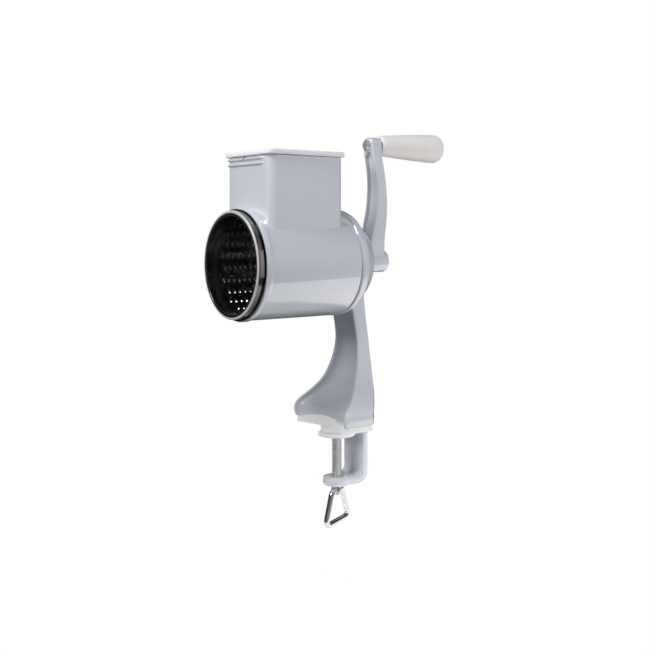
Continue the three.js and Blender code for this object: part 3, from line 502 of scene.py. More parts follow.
# %% Outside of the case
case_radius, bead_radius = 42.5, 43.2
hopper_half, hopper_corner, hopper_wall = 32.25, 6, 2.2
hopper_front, hopper_rear = case_front + 9.1, seam_y - 10
case = on_axis([
    (bead_radius - 0.9, case_front), (bead_radius - 0.3, case_front + 0.25),
    (bead_radius, case_front + 0.9), (bead_radius, case_front + 4.4),
    (bead_radius - 0.15, case_front + 4.9), (case_radius + 0.1, case_front + 5.5),
    (case_radius, case_front + 6.1), (case_radius, seam_y - 0.6),
    (case_radius - 0.2, seam_y - 0.15), (case_radius - 0.7, seam_y)], sides=128)
hopper = rounded_box([-hopper_half, hopper_front, axis_height],
                     [hopper_half, hopper_rear, rim_height], hopper_corner)
select_only(hopper)
bpy.ops.object.mode_set(mode="EDIT")
bpy.ops.mesh.select_all(action="DESELECT")
bpy.ops.object.mode_set(mode="OBJECT")
for face in hopper.data.polygons:
    face.select = face.normal.z > 0.9
bpy.ops.object.mode_set(mode="EDIT")
bpy.ops.mesh.select_mode(type="FACE")
bpy.ops.mesh.bevel(offset=0.5 * mm, segments=3, affect="EDGES")
bpy.ops.mesh.select_mode(type="VERT")
bpy.ops.object.mode_set(mode="OBJECT")
combine(case, FUSE, hopper)
print("case outside:", len(case.data.polygons), "faces")

# %% [markdown]
# Two thin ribs run under the rim, round the front and the left side, where a thumb holds the hopper
# while the lid is pressed. They die out in the front wall before the right corner. Each is a low
# rounded box that ends short of that corner, so its own round corner sinks into the wall. A narrow
# notch is cut into the rim above them.

# %% Ribs and the notch in the rim
rib_proud, rib_half, rib_end = 1.3, 0.8, 24.5
for drop in (1.9, 5.9):
    rib = rounded_box(
        [-hopper_half - rib_proud, hopper_front - rib_proud, rim_height - drop - rib_half],
        [rib_end, hopper_rear + rib_proud, rim_height - drop + rib_half], 6.5)
    round_edges(rib, 0.7, angle=60, segments=4)
    combine(case, FUSE, rib)
notch = rounded_box([-6.3, hopper_front - 3, rim_height - 2.6],
                    [-3.9, hopper_front + 4, rim_height + 3], 0)
combine(case, CUT, notch)
print("case with ribs:", len(case.data.polygons), "faces")

# %% [markdown]
# The inside is cut away: the drum's bore from the front with a small lead-in at the mouth, the chute
# from the top, and in the rear wall the hole for the bearing tube and three holes for the case's screws.

# %% Inside of the case
bore_radius, rear_wall, screw_circle = 40.1, 2.4, 27
bore = on_axis([(bore_radius + 0.5, case_front - 1), (bore_radius + 0.5, case_front),
                (bore_radius, case_front + 0.5), (bore_radius, seam_y - rear_wall)], sides=128)
chute = rounded_box([-hopper_half + hopper_wall, hopper_front + hopper_wall, axis_height],
                    [hopper_half - hopper_wall, hopper_rear - hopper_wall, rim_height + 2],
                    hopper_corner - hopper_wall)
tube_hole = on_axis(straight(11.2, seam_y - 8, seam_y + 3), sides=64)
combine(case, CUT, bore, chute, tube_hole)
for turn in (90, 210, 330):
    x = screw_circle * math.sin(math.radians(turn))
    z = axis_height + screw_circle * math.cos(math.radians(turn))
    combine(case, CUT, turned(straight(1.9, seam_y - 8, seam_y + 3), sides=16, at=(x, 0, z)))
clean(case)
finish(case, "case", "root", "body", case_plastic, ["housing"])

# %% [markdown]
# ## The pusher
#
# The pusher presses the nuts onto the drum. It is a hollow box whose underside is arched to follow the
# drum. The box, its inside and the lid's plug are the same block, each a little smaller than the last.

# %% Pusher box
pusher_inset, pusher_wall = 3.1, 2
hopper_middle = (hopper_front + hopper_rear) / 2
pusher_x, pusher_y = hopper_half - pusher_inset, (hopper_rear - hopper_front) / 2 - pusher_inset


def pusher_block(smaller, bottom, top, corner):
    x, y = pusher_x - smaller, pusher_y - smaller
    return rounded_box([-x, hopper_middle - y, bottom], [x, hopper_middle + y, top], corner)


def drum_room(radius):
    return on_axis(straight(radius, case_front - 4, seam_y + 4), sides=160)


pusher = pusher_block(0, axis_height, rim_height, 3.2)
inside = pusher_block(pusher_wall, axis_height, rim_height + 2, 1.2)
combine(inside, CUT, drum_room(48))
combine(pusher, CUT, drum_room(45.6), inside)
round_edges(pusher, 0.35, angle=50, segments=2)
clean(pusher)
finish(pusher, "pusher_shell", "pusher", "body", case_plastic, ["pusher_box"])

# %% [markdown]
# A white lid closes the pusher and overhangs the hopper all round. It is a flat box with round corners,
# whose top and bottom edges are rolled over with a bevel of several segments. Its plug fits into the
# pusher's box.

# %% Pusher lid
lid_low, lid_high = node_box("pusher_lid")
lid = rounded_box([lid_low[0], lid_low[1], rim_height + 0.3], lid_high, 4.6)
round_edges(lid, 1.3, angle=60, segments=5)
plug = pusher_block(pusher_wall + 0.3, lid_low[2], rim_height + 1.4, 0.9)
combine(lid, FUSE, plug)
finish(lid, "pusher_cover", "pusher", "lid", lid_plastic, ["pusher_lid"])

# %% [markdown]
# ## The stand
#
# Behind the case sits a round bell that carries the shaft. A bevel at the seam makes the dark line of
# the joint, and towards the back the bell closes in two soft tiers. One turned profile gives its
# outside, and a smooth curve through a few measured points rounds it.

# %% Bell
bell_shares = [[0, 1], [0.24, 0.88], [0.45, 0.77], [0.62, 0.66], [0.79, 0.49], [0.92, 0.29], [1, 0]]
bell_front = seam_y + 0.3
bell_line = [(41.5, bell_front), (41.8, bell_front + 0.15), (42.8, bell_front + 1.1),
             (43.05, bell_front + 1.4), (43.05, bell_front + 1.8)]
bell_line += arc((38.3, bell_front + 1.5), (4.7, 8.7), range(9, 91, 9))
bell_line.append((37.6, bell_front + 10.6))
for step in range(1, 17):
    along, across = between_levels(bell_shares, step / 16)
    bell_line.append((15 + 22.3 * across, bell_front + 11.2 + 16.5 * along))
bell = on_axis(bell_line, sides=128)
print("bell:", len(bell.data.polygons), "faces")

# %% [markdown]
# The leg is the most shaped piece of the grinder. Seen from above, every level of it is a round back
# with two thin rims, and a deep scoop between the rims in front. Towards the foot it spreads into two
# toes. The list gives a few levels, as shares of the sizes named here, and a smooth curve through them
# gives the levels between, so a loft of many fine sections shows no facets.

# %% Leg and foot
leg_levels = [
    [0, 0.95, 0.97, 0.92, 0.88, 1],
    [0.036, 1, 1, 0.96, 0.89, 0.98],
    [0.08, 0.99, 0.98, 1, 0.9, 0.97],
    [0.12, 0.93, 0.86, 0.85, 0.93, 0.62],
    [0.174, 0.75, 0.59, 0.6, 0.96, 0.4],
    [0.228, 0.55, 0.4, 0.36, 0.98, 0.26],
    [0.282, 0.38, 0.26, 0.19, 0.97, 0.16],
    [0.39, 0.2, 0.09, 0.08, 0.96, 0.05],
    [0.498, 0.08, 0, 0.06, 0.95, 0],
    [0.606, 0.01, 0, 0.11, 0.92, 0.02],
    [0.8, 0, 0.14, 0.32, 0.79, 0.34],
    [1, 0, 0.3, 0.5, 0.68, 0.45],
]
half_width, rim_y, side_bend_y, scoop_floor_y = (14.6, 36.7), (8.8, -17.8), (21.4, 8.4), (17.6, -11)
sole_top, leg_height, leg_rim = 4.6, 113.3, 3.2
leg_bottom = sole_top + 0.3


def part_way(ends, share):
    """The value at a share of the way from the leg's end of a range to the foot's."""
    return ends[0] + (ends[1] - ends[0]) * share


def leg_section(at):
    height, width, front, side, back, scoop = between_levels(leg_levels, at)
    half = part_way(half_width, width)
    front_y = part_way(rim_y, front)
    side_y = part_way(side_bend_y, side)
    scoop_y = part_way(scoop_floor_y, scoop)
    back_y, back_half = 25 * back, 9 + 4 * width
    inner = half - leg_rim
    right = [(half - 1.0, front_y), (half - 0.3, front_y + 0.3), (half, front_y + 1.0)]
    for step in range(1, 4):
        right.append((half, front_y + 1.0 + (side_y - 1.0 - front_y) * step / 4))
    bulge = 0.72 - 0.25 * width
    corner = (half * bulge + back_half * (1 - bulge), back_y)
    right += soft_corner((half, side_y), corner, (back_half * 0.55, back_y), 8)
    left = [(-x, y) for x, y in reversed(right)]
    hollow = [(-inner - 0.8, front_y), (-inner - 0.2, front_y + 0.2)]
    hollow += arc((0, front_y + 0.8), (inner, scoop_y - 0.8 - front_y),
                  [180 - step * 11.25 for step in range(17)])
    hollow += [(inner + 0.2, front_y + 0.2), (inner + 0.8, front_y)]
    return [(x, y, leg_bottom + height * leg_height) for x, y in right + left + hollow]


leg = lofted([leg_section(step / 56) for step in range(57)])
print("leg:", len(leg.data.polygons), "faces")

# %% [markdown]
# Under the foot's front the sole rises into a low arch. The same turned slice cuts the room for it into
# the foot, 0.3 mm larger, and later trims the sole, so the two always fit.

# %% Arch under the foot
arch_rise, arch_half = 4.4, 30


def arch_block(grow):
    rise, half = arch_rise + grow, arch_half + grow
    radius = (half ** 2 + rise ** 2) / (2 * rise)
    return turned(straight(radius, -25, 0.2 + grow), sides=720, at=(0, 0, sole_top + rise - radius))


combine(leg, CUT, arch_block(0.3))
print("leg with its arch:", len(leg.data.polygons), "faces")

# %% [markdown]
# The clamp frame is a strip of plastic bent like a hook: down behind the table's edge, then forward
# under it to the round boss of the screw. It is a loft along that path. Each section is a rectangle
# with broken edges, set square to the path, so the inner and outer bends come out round by themselves.

# %% Clamp frame
hook_path = [
    (0, -44.8, 10.4, 6.4), (3.5, -44.75, 10.1, 6.35), (6.5, -44.7, 10.2, 6.3), (9.5, -44.6, 10.9, 6.2),
    (12.5, -44.4, 11.9, 6.05), (15, -43.9, 12.6, 5.9), (17.2, -42.6, 12.9, 5.8), (18.7, -40.6, 13, 5.6),
    (19.25, -38, 13, 5.45), (19.3, -34, 13, 5.4), (19.3, -14, 13, 5.4), (19.3, 14, 13, 5.4),
]


def hook_section(index):
    y, z, half, thick = hook_path[index]
    near = hook_path[max(index - 1, 0):index + 2]
    run = Vector((0, near[-1][0] - near[0][0], near[-1][1] - near[0][1])).normalized()
    across = Vector((0, -run.z, run.y))
    ring = []
    for side_x, side_n in ((1, 1), (-1, 1), (-1, -1), (1, -1)):
        ends = [(half, thick / 2 - 1.1), (half - 0.3, thick / 2 - 0.3), (half - 1.1, thick / 2)]
        if side_x * side_n < 0:
            ends.reverse()
        for x, n in ends:
            ring.append(Vector((side_x * x, y, z)) + across * (side_n * n))
    return ring


hook = lofted([hook_section(index) for index in range(len(hook_path))])
boss = upright([(10.2, -47.9), (11, -47.6), (11.2, -46.8), (11.2, -42.4), (10.9, -41.75),
                (10.2, -41.5)])
combine(hook, FUSE, boss)
print("clamp frame:", len(hook.data.polygons), "faces")

# %% [markdown]
# The bearing tube stands in the middle of the bell and shows as a boss at its back. The bell, the leg,
# the hook and the tube become one moulding. Its hollow, the bore of the bush and the screw's hole are
# cut away, in the order in which the mould's cores would leave them.

# %% Stand in one piece
bell_wall = 3.2
stand = combine(bell, FUSE, leg)
hollow_line = straight(39.8, bell_front - 2, bell_front + 1.5)
hollow_line += [(radius - bell_wall, place - bell_wall) for radius, place in bell_line[6:27:3]]
combine(stand, CUT, on_axis(hollow_line, sides=128))
tube = on_axis([(10.4, -10.5), (10.9, -10), (10.9, 6), (12.4, 7), (12.4, 24.5), (11.7, 25.2)])
combine(stand, FUSE, tube, hook)
bush_hole = on_axis(straight(7.5, -13, 28), sides=64)
screw_hole = upright(straight(4.3, -50, -40), sides=64)
combine(stand, CUT, bush_hole, screw_hole)
clean(stand)
finish(stand, "stand_moulding", "root", "body", case_plastic, ["stand"], angle=40)

# %% [markdown]
# The sole is a pale, slightly soft moulding pressed into the foot. Its outline runs round the toes and
# curves in between them. It starts as a flat circle whose points are moved onto the outline, is
# extruded to its thickness, gets a broken lower edge, and the arch is fused on top.

# %% Sole
toe_x, toe_y, toe_round, front_curve = 30.2, -12.5, 5, 6
side_x = toe_x + toe_round


def sole_outline(count=20):
    points = [(13, 16.3), (-13, 16.3), (-side_x, 9.4), (-side_x, toe_y)]
    points += arc((-toe_x, toe_y), (toe_round, toe_round), range(195, 271, 15))
    for step in range(1, count):
        t = step / count
        points.append((-toe_x + 2 * toe_x * t, toe_y - toe_round + 4 * front_curve * t * (1 - t)))
    points += arc((toe_x, toe_y), (toe_round, toe_round), range(270, 361, 15))
    return points + [(side_x, 9.4)]


def sole_plate(bottom, top):
    outline = sole_outline()
    select_only()
    bpy.ops.mesh.primitive_circle_add(vertices=len(outline), fill_type="NGON", radius=1)
    piece = bpy.context.object
    for vertex, (x, y) in zip(piece.data.vertices, outline):
        vertex.co = (x * mm, y * mm, bottom * mm)
    edit_all(piece)
    bpy.ops.mesh.extrude_region_move(TRANSFORM_OT_translate={"value": (0, 0, (top - bottom) * mm)})
    bpy.ops.object.mode_set(mode="OBJECT")
    clean(piece, 0.0001)
    return piece


sole = sole_plate(0, sole_top)
round_edges(sole, 0.4, angle=60)
hump = combine(sole_plate(1, sole_top + arch_rise), KEEP_COMMON, arch_block(0))
combine(sole, FUSE, hump)
clean(sole)
finish(sole, "sole", "root", "white", sole_plastic, ["foot_sole"])

# %% [markdown]
# ## The drum
#
# The drum is the grinder's tool: a tube of thin sheet with rows of punched teeth. Each tooth is a hole
# whose edge is pushed outwards on one side into a small hood, so that it shaves what is pressed onto it.
# One tile of sheet with one such tooth is modelled first: a circle for the hole's edge, raised on one
# side, then two larger rings for the hood, then the tile's straight border.

# %% One tooth
rows, teeth, pitch = 24, 13, 4.748
drum_radius = 38
hole_reach, hole_half, hood_height = 1.5, 1.35, 1.2
tile_half = math.pi * drum_radius / rows
border = [(tile_half, i * pitch / 4) for i in range(-2, 3)]
border += [(i * tile_half / 2, pitch / 2) for i in (1, 0, -1)]
border += [(-tile_half, -i * pitch / 4) for i in range(-2, 3)]
border += [(i * tile_half / 2, -pitch / 2) for i in (-1, 0, 1)]


def hood_ring(share):
    """The ring that lies at a share of the way from the hole's edge to the foot of the hood."""
    ring = []
    for u, v in border:
        turn = math.atan2(v / pitch * 2.2, u / tile_half)
        ahead = max(math.cos(turn), 0)
        reach = hole_reach + share * (0.35 + 2.4 * ahead)
        across = hole_half + share * 0.55
        lift = hood_height * (0.5 + 0.5 * math.cos(turn)) ** 1.3 * (1 - share) ** 1.4
        ring.append((-0.3 + reach * math.cos(turn), across * math.sin(turn), lift))
    return ring


select_only()
bpy.ops.mesh.primitive_circle_add(vertices=len(border), radius=mm, fill_type="NOTHING",
                                  enter_editmode=True)
for ring in range(3):
    bpy.ops.mesh.extrude_edges_move(TRANSFORM_OT_translate={"value": (0, 0, mm)})
bpy.ops.object.mode_set(mode="OBJECT")
tooth = bpy.context.object
rings = [hood_ring(0), hood_ring(0.5), hood_ring(1), [(u, v, 0) for u, v in border]]
for vertex, (u, v, lift) in zip(tooth.data.vertices, [point for ring in rings for point in ring]):
    vertex.co = (u * mm, v * mm, lift * mm)
clean(tooth, 0.0001)
print("one tooth:", len(tooth.data.polygons), "faces")

# %% [markdown]
# Two Array modifiers repeat the tooth along a strip and the strip round the drum. Every second strip is
# moved along by half a pitch, which the tile's border allows because its points match at that step.
# The flat sheet is then rolled up: the way across becomes an angle and the height a radius.

# %% Sheet of teeth, rolled up
modify(tooth, "ARRAY", count=teeth, use_relative_offset=False, use_constant_offset=True,
       constant_offset_displace=(0, pitch * mm, 0), use_merge_vertices=True, merge_threshold=0.01 * mm)
select_only(tooth)
bpy.ops.object.duplicate()
second = bpy.context.object
second.data.transform(Matrix.Translation((2 * tile_half * mm, pitch / 2 * mm, 0)))
select_only(tooth, second)
bpy.ops.object.join()
sheet = bpy.context.object
modify(sheet, "ARRAY", count=rows // 2, use_relative_offset=False, use_constant_offset=True,
       constant_offset_displace=(4 * tile_half * mm, 0, 0))
teeth_front = lip_y + 11.2 + pitch / 2
for vertex in sheet.data.vertices:
    u, v, lift = vertex.co / mm
    turn = (u + tile_half) / drum_radius
    radius = drum_radius + lift
    vertex.co = (radius * math.sin(turn) * mm, (teeth_front + v) * mm,
                 (axis_height + radius * math.cos(turn)) * mm)
clean(sheet)
print("rolled sheet:", len(sheet.data.polygons), "faces")

# %% [markdown]
# The open ends still step in and out with the strips. The edges at a chosen place along the axis are
# selected and extruded. Two short steps fill the notches, and the merged edge then runs on as the plain
# band. A Solidify modifier gives the sheet its thickness, inwards.

# %% Plain bands and thickness
def extrude_edge_at(piece, start, end):
    select_only(piece)
    bpy.ops.object.mode_set(mode="EDIT")
    bpy.ops.mesh.select_mode(type="EDGE")
    bpy.ops.mesh.select_all(action="DESELECT")
    bpy.ops.mesh.select_non_manifold()
    bpy.ops.object.mode_set(mode="OBJECT")
    for edge in piece.data.edges:
        places = [piece.data.vertices[i].co.y / mm for i in edge.vertices]
        edge.select = edge.select and all(abs(place - start) < 0.02 for place in places)
    bpy.ops.object.mode_set(mode="EDIT")
    bpy.ops.mesh.extrude_edges_move(TRANSFORM_OT_translate={"value": (0, (end - start) * mm, 0)})
    bpy.ops.mesh.select_mode(type="VERT")
    bpy.ops.object.mode_set(mode="OBJECT")
    clean(piece, 0.01)


sheet_front, sheet_rear = y_span("drum_sheet")
sheet_thickness, quarter = 0.8, pitch / 4
teeth_rear = teeth_front + (teeth - 1) * pitch
for row, start, end in ((teeth_front, 0, -1), (teeth_front, -1, -2),
                        (teeth_rear, 2, 3), (teeth_rear, 3, 4)):
    extrude_edge_at(sheet, row + start * quarter, row + end * quarter)
extrude_edge_at(sheet, teeth_front - pitch / 2, sheet_front)
extrude_edge_at(sheet, teeth_rear + pitch, sheet_rear)
modify(sheet, "SOLIDIFY", thickness=sheet_thickness * mm, offset=-1)
finish(sheet, "perforated_drum", "rotor", "drum", drum_steel, ["drum_sheet"], angle=50)
print("drum:", rows, "rows of", teeth, "teeth")

# %% [markdown]
# ## The drum's mouth
#
# A polished band is rolled round the drum's mouth. It hides the cut edge of the sheet and keeps the drum
# in the case. Its section is an open channel with a round lip in front and a flange behind, so the
# profile goes round the whole section and closes on itself.

# %% Collar
inner_edge, band, flange, flange_foot = 38.3, 41.2, 42.3, 39.1
flange_rear, hook_rear = case_front - 0.3, case_front + 4.2
lip_round = arc((38.9, lip_y + 0.6), (0.6, -0.6), (180, 150, 120, 90))
outer_round = arc((band - 0.9, lip_y + 0.9), (0.9, 0.9), (-90, -68, -45, -22, 0))
collar = on_axis(lip_round + outer_round + [
    (band, flange_rear - 2.0), (band + 0.15, flange_rear - 1.65), (flange - 0.3, flange_rear - 1.5),
    (flange, flange_rear - 1.2), (flange, flange_rear - 0.3), (flange - 0.3, flange_rear),
    (flange_foot, flange_rear), (flange_foot, hook_rear), (inner_edge, hook_rear),
    (inner_edge, flange_rear - 0.8), (band - 0.8, flange_rear - 0.8), (band - 0.8, lip_y + 1.5),
    (inner_edge, lip_y + 1.5)], sides=160, closed=True)
finish(collar, "mouth_collar", "rotor", "drum", band_steel, ["drum_collar"], angle=40)

# %% [markdown]
# The band's ends meet on the right, under a short strap. The strap is a slice of a slightly larger ring,
# cut out with a box. Beside each end of it sits the dark dimple of a spot weld.

# %% Strap over the joint
strap_y = lip_y + 3
strap = on_axis([(41.5, strap_y - 1.5), (42.1, strap_y - 1.5), (42.2, strap_y - 1.35),
                 (42.2, strap_y + 1.35), (42.1, strap_y + 1.5), (41.5, strap_y + 1.5)],
                sides=160, closed=True)
slice_box = rounded_box([37, strap_y - 4, axis_height - 7.9], [45, strap_y + 4, axis_height + 12.1], 0)
combine(strap, KEEP_COMMON, slice_box)
for height in (-7.4, 11.6):
    dimple = upright(straight(0.75, 38, 46), sides=24)
    dimple.data.transform(Matrix.Translation(Vector((0, strap_y, axis_height + height)) * mm)
                          @ Matrix.Rotation(math.radians(90), 4, "Y"))
    combine(strap, CUT, dimple)
clean(strap)
finish(strap, "collar_joint", "rotor", "drum", strap_steel, ["collar_strap"], angle=40)

# %% [markdown]
# ## Behind the drum
#
# A pressed cup closes the drum's rear end, and a turned hub is riveted to it, with a square socket for
# the shaft. Deep inside the mouth these show only as a glint.

# %% Back plate and hub
def square_hole(front, rear, half=3.8):
    """A block to cut with, for the square on an end of the shaft."""
    return rounded_box([-half, front, axis_height - half], [half, rear, axis_height + half], 0)


back_y, back_rim = y_span("drum_back")
cup = on_axis([(9.3, back_y), (35.6, back_y), (36.5, back_y + 0.3), (36.9, back_y + 1.2),
               (36.9, back_rim), (35.9, back_rim), (35.9, back_y + 1.5), (35.4, back_y + 1),
               (9.3, back_y + 1)], closed=True)
hub_y, hub_end = y_span("drum_hub")
hub = on_axis([(8.2, hub_y), (8.8, hub_y + 0.2), (9, hub_y + 0.8), (9, back_y + 1.3),
               (13.7, back_y + 1.3), (14, back_y + 1.6), (14, back_y + 3), (13.7, back_y + 3.3),
               (9, back_y + 3.3), (9, hub_end)], sides=64)
combine(hub, CUT, square_hole(hub_end - 8, hub_end + 2))
rivet_places = []
for index in range(3):
    low, high = node_box(f"hub_rivet_{index + 1}")
    rivet_places.append([(low[0] + high[0]) / 2, low[1], high[1], (low[2] + high[2]) / 2])
for x, front, rear, z in rivet_places:
    combine(cup, CUT, turned(straight(1.8, front - 1, rear + 1), sides=24, at=(x, 0, z)))
    combine(hub, CUT, turned(straight(1.8, back_y + 1.1, back_y + 3.6), sides=24, at=(x, 0, z)))
finish(cup, "drum_end_cup", "rotor", "drum", drum_steel, ["drum_back"])
finish(hub, "turned_hub", "rotor", "steel", turned_steel, ["drum_hub"])

# %% [markdown]
# The three rivets are alike: a domed head, a shank and the closed head behind. One is turned and the
# others are copies of it with their own mesh, each at its own place.

# %% Rivets
_, front, rear, _ = rivet_places[0]
rivet = turned([(0.5, front), (1.4, front + 0.1), (2.1, front + 0.35), (2.6, front + 0.9),
                (1.5, front + 0.9), (1.5, rear - 0.9), (2.6, rear - 0.9), (2.1, rear - 0.3),
                (1.2, rear)], sides=32)
for index, (x, _, _, z) in enumerate(rivet_places):
    copy = rivet.copy()
    copy.data = rivet.data.copy()
    bpy.context.collection.objects.link(copy)
    copy.data.transform(Matrix.Translation((x * mm, 0, z * mm)))
    finish(copy, f"rivet_{index + 1}", "rotor", "steel", turned_steel, [f"hub_rivet_{index + 1}"])
bpy.data.objects.remove(rivet)

# %% [markdown]
# ## The crank
#
# The crank is a moulded arm that bows away from the case, with a round hub below and a small eye above.
# Like the leg it is a loft: each level gives the width, how far the arm is bowed and how deep it is. Its
# section is a rectangle with well-rounded edges.

# %% Arm
crank_levels = [
    [0, 0.95, 0, 1], [0.165, 0.86, 0.32, 0.85], [0.25, 0.9, 0.44, 0.81], [0.33, 0.95, 0.64, 0.74],
    [0.41, 0.98, 0.84, 0.64], [0.49, 0.97, 0.96, 0.59], [0.575, 0.95, 1, 0.55], [0.66, 0.9, 1, 0.52],
    [0.74, 0.86, 0.93, 0.51], [0.82, 0.81, 0.8, 0.53], [0.9, 0.78, 0.63, 0.54], [1, 0.77, 0.46, 0.64],
]
crank_radius, crank_half, crank_bow, crank_deep = 96.9, 8.8, 10, 17
hub_front, hub_rear = y_span("crank_arm")
eye_height = axis_height + crank_radius


def crank_section(at, inset=0.0, depth=None):
    """The arm's section at a share of its height or, with a depth, that of its channel."""
    height, width, bow, share = between_levels(crank_levels, at)
    half = crank_half * width - inset
    front_y = hub_front + crank_bow * bow
    rear_y = front_y + (depth or crank_deep * share)
    start_y = front_y - (3 if depth else 0)
    edge = 0.3 if depth else 1.3
    ring = []
    for side, y, turn in ((1, rear_y - edge, 0), (-1, rear_y - edge, 90),
                          (-1, start_y + edge, 180), (1, start_y + edge, 270)):
        turns = [turn + step * 22.5 for step in range(5)]
        ring += arc((side * (half - edge), y), (edge, edge), turns)
    return [(x, y, axis_height + height * crank_radius) for x, y in ring]


def on_eye(profile, **settings):
    """A piece turned about the grip's axis, in the eye of the crank."""
    return turned(profile, at=(0, 0, eye_height), **settings)


arm = lofted([crank_section(step / 48) for step in range(49)])
_, _, eye_bow, eye_share = between_levels(crank_levels, 1)
eye_front = hub_front + crank_bow * eye_bow
eye_rear = eye_front + crank_deep * eye_share
eye = on_eye([(5.2, eye_front), (6.0, eye_front + 0.3), (6.4, eye_front + 1.0),
              (6.4, eye_rear - 1.0), (6.0, eye_rear - 0.3), (5.2, eye_rear)], sides=64)
combine(arm, FUSE, eye)
print("crank arm:", len(arm.data.polygons), "faces")

# %% [markdown]
# A shallow channel runs up the side of the arm that faces the case, so that the moulding keeps an even
# wall. It is cut by a narrower loft of the same curve, with a round end below the eye. After that comes
# the hub with its counterbore for the screw, its square socket and the eye's hole.

# %% Channel, hub and holes
channel_start, channel_top, channel_depth, channel_inset = 0.15, 0.888, 3, 2.0
channel_shares = [channel_start + (channel_top - channel_start) * step / 32 for step in range(33)]
channel = lofted([crank_section(share, channel_inset, channel_depth) for share in channel_shares])
_, end_width, end_bow, _ = between_levels(crank_levels, channel_top)
end_half = crank_half * end_width - channel_inset
end_front = hub_front + crank_bow * end_bow
cap = turned(straight(end_half, end_front - 4, end_front + channel_depth - 0.05), sides=48,
             at=(0, 0, axis_height + channel_top * crank_radius))
combine(channel, FUSE, cap)
combine(arm, CUT, channel)
hub_body = on_axis([(8.7, hub_front), (9.1, hub_front + 0.2), (9.3, hub_front + 0.7),
                    (9.3, hub_rear - 1.6), (9.0, hub_rear - 0.7), (8.3, hub_rear - 0.1),
                    (7.5, hub_rear)])
combine(arm, FUSE, hub_body)
combine(arm, CUT,
        on_axis(straight(5.1, hub_rear - 3.2, hub_rear + 2), sides=64),
        on_axis(straight(2.5, hub_front + 1, hub_rear + 1), sides=32),
        square_hole(hub_front - 2, hub_front + 14.3),
        on_eye(straight(2.7, eye_front - 2, eye_rear + 2), sides=32))
clean(arm)
finish(arm, "crank_moulding", "rotor", "body", case_plastic, ["crank_arm"], angle=40)

# %% [markdown]
# ## Screws with a cross recess
#
# Two screws show: one holds the crank on the shaft, the other carries the grip. Their heads are low
# domes with a cross recess. The recess is two crossing boxes, tapered like a real driver's point, cut
# into the turned head.

# %% Screws
def cross_screw(profile, face_y, x, z, into):
    """A turned screw whose cross recess starts at face_y and runs in the direction into (1 or -1)."""
    screw = turned(profile, sides=64, at=(x, 0, z))
    for turn in (45, 135):
        select_only()
        bpy.ops.mesh.primitive_cube_add(size=1, location=(0, 0, 0), scale=(4.6 * mm, 3 * mm, 0.95 * mm))
        blade = bpy.context.object
        apply_transform(blade)
        for vertex in blade.data.vertices:
            if vertex.co.y * into > 0:
                vertex.co.x *= 0.35
                vertex.co.z *= 0.5
        blade.data.transform(Matrix.Translation(Vector((x, face_y, z)) * mm)
                             @ Matrix.Rotation(math.radians(turn), 4, "Y"))
        combine(screw, CUT, blade)
    return screw


end, head = y_span("crank_screw")
crank_screw = cross_screw(
    [(2.0, end), (2.2, end + 0.3), (2.2, head - 2.4), (4.8, head - 2.4), (4.8, head - 1.2),
     (4.4, head - 0.6), (3.4, head - 0.2), (1.8, head)], head, 0, axis_height, -1)
finish(crank_screw, "crank_cross_screw", "rotor", "steel", turned_steel, ["crank_screw"])
head, end = y_span("grip_screw")
grip_screw = cross_screw(
    [(1.8, head), (3.2, head + 0.15), (4.1, head + 0.6), (4.4, head + 1.2), (4.4, head + 2.2),
     (2.4, head + 2.2), (2.4, end - 0.4), (2.0, end)], head, 0, eye_height, 1)
finish(grip_screw, "grip_cross_screw", "grip", "steel", bright_zinc, ["grip_screw"])

# %% [markdown]
# The grip is a long turned handle that swells towards its round end and spins on its screw. Its profile
# is a smooth curve through the measured radii. A bore for the screw runs in from the crank's side, and
# a short skirt with a wider bore hides the washer there.

# %% Grip
grip_levels = [[0.015, 0], [0.17, 0.24], [0.36, 0.49], [0.53, 0.7], [0.72, 0.88], [0.86, 1],
               [0.93, 0.93], [0.975, 0.62], [1, -0.2]]
grip_start, grip_end = y_span("grip")
grip_length = grip_end - grip_start
washer_front, washer_rear = y_span("grip_washer")
skirt = washer_front + 0.3
grip_line = [(7.2, skirt), (7.8, skirt + 0.15), (8.2, skirt + 0.6)]
for step in range(1, 37):
    share = 0.015 + 0.915 * step / 36
    _, across = between_levels(grip_levels, share)
    grip_line.append((8.4 + 3.8 * across, grip_start + grip_length * share))
dome_radius, dome_height = grip_line[-1][0], 0.07 * grip_length
for step in range(1, 13):
    turn = math.radians(step * 7.2)
    grip_line.append((dome_radius * (0.42 + 0.58 * math.cos(turn) ** 0.75),
                      grip_start + grip_length * 0.93 + dome_height * math.sin(turn) ** 1.25))
grip_line.append((dome_radius * 0.3, grip_end))
handle = on_eye(grip_line)
combine(handle, CUT,
        on_eye(straight(2.7, grip_start - 2, grip_end - 28), sides=32),
        on_eye(straight(6.4, skirt - 1, grip_start), sides=64))
finish(handle, "grip_handle", "grip", "grip", grip_plastic, ["grip"], angle=60)
washer = on_eye([(2.7, washer_front), (6.0, washer_front), (6.2, washer_front + 0.2),
                 (6.2, washer_rear - 0.2), (6.0, washer_rear), (2.7, washer_rear)],
                sides=64, closed=True)
finish(washer, "grip_ring", "grip", "steel", turned_steel, ["grip_washer"])

# %% [markdown]
# ## The clamp
#
# The clamp screw has a real thread of 1.25 mm pitch. A thread could be made with the Screw modifier, but
# a rod of many fine rings is sturdier: each point's radius is set by how far round and how far along it
# lies, which draws one continuous helix with flat crests and rounded roots.

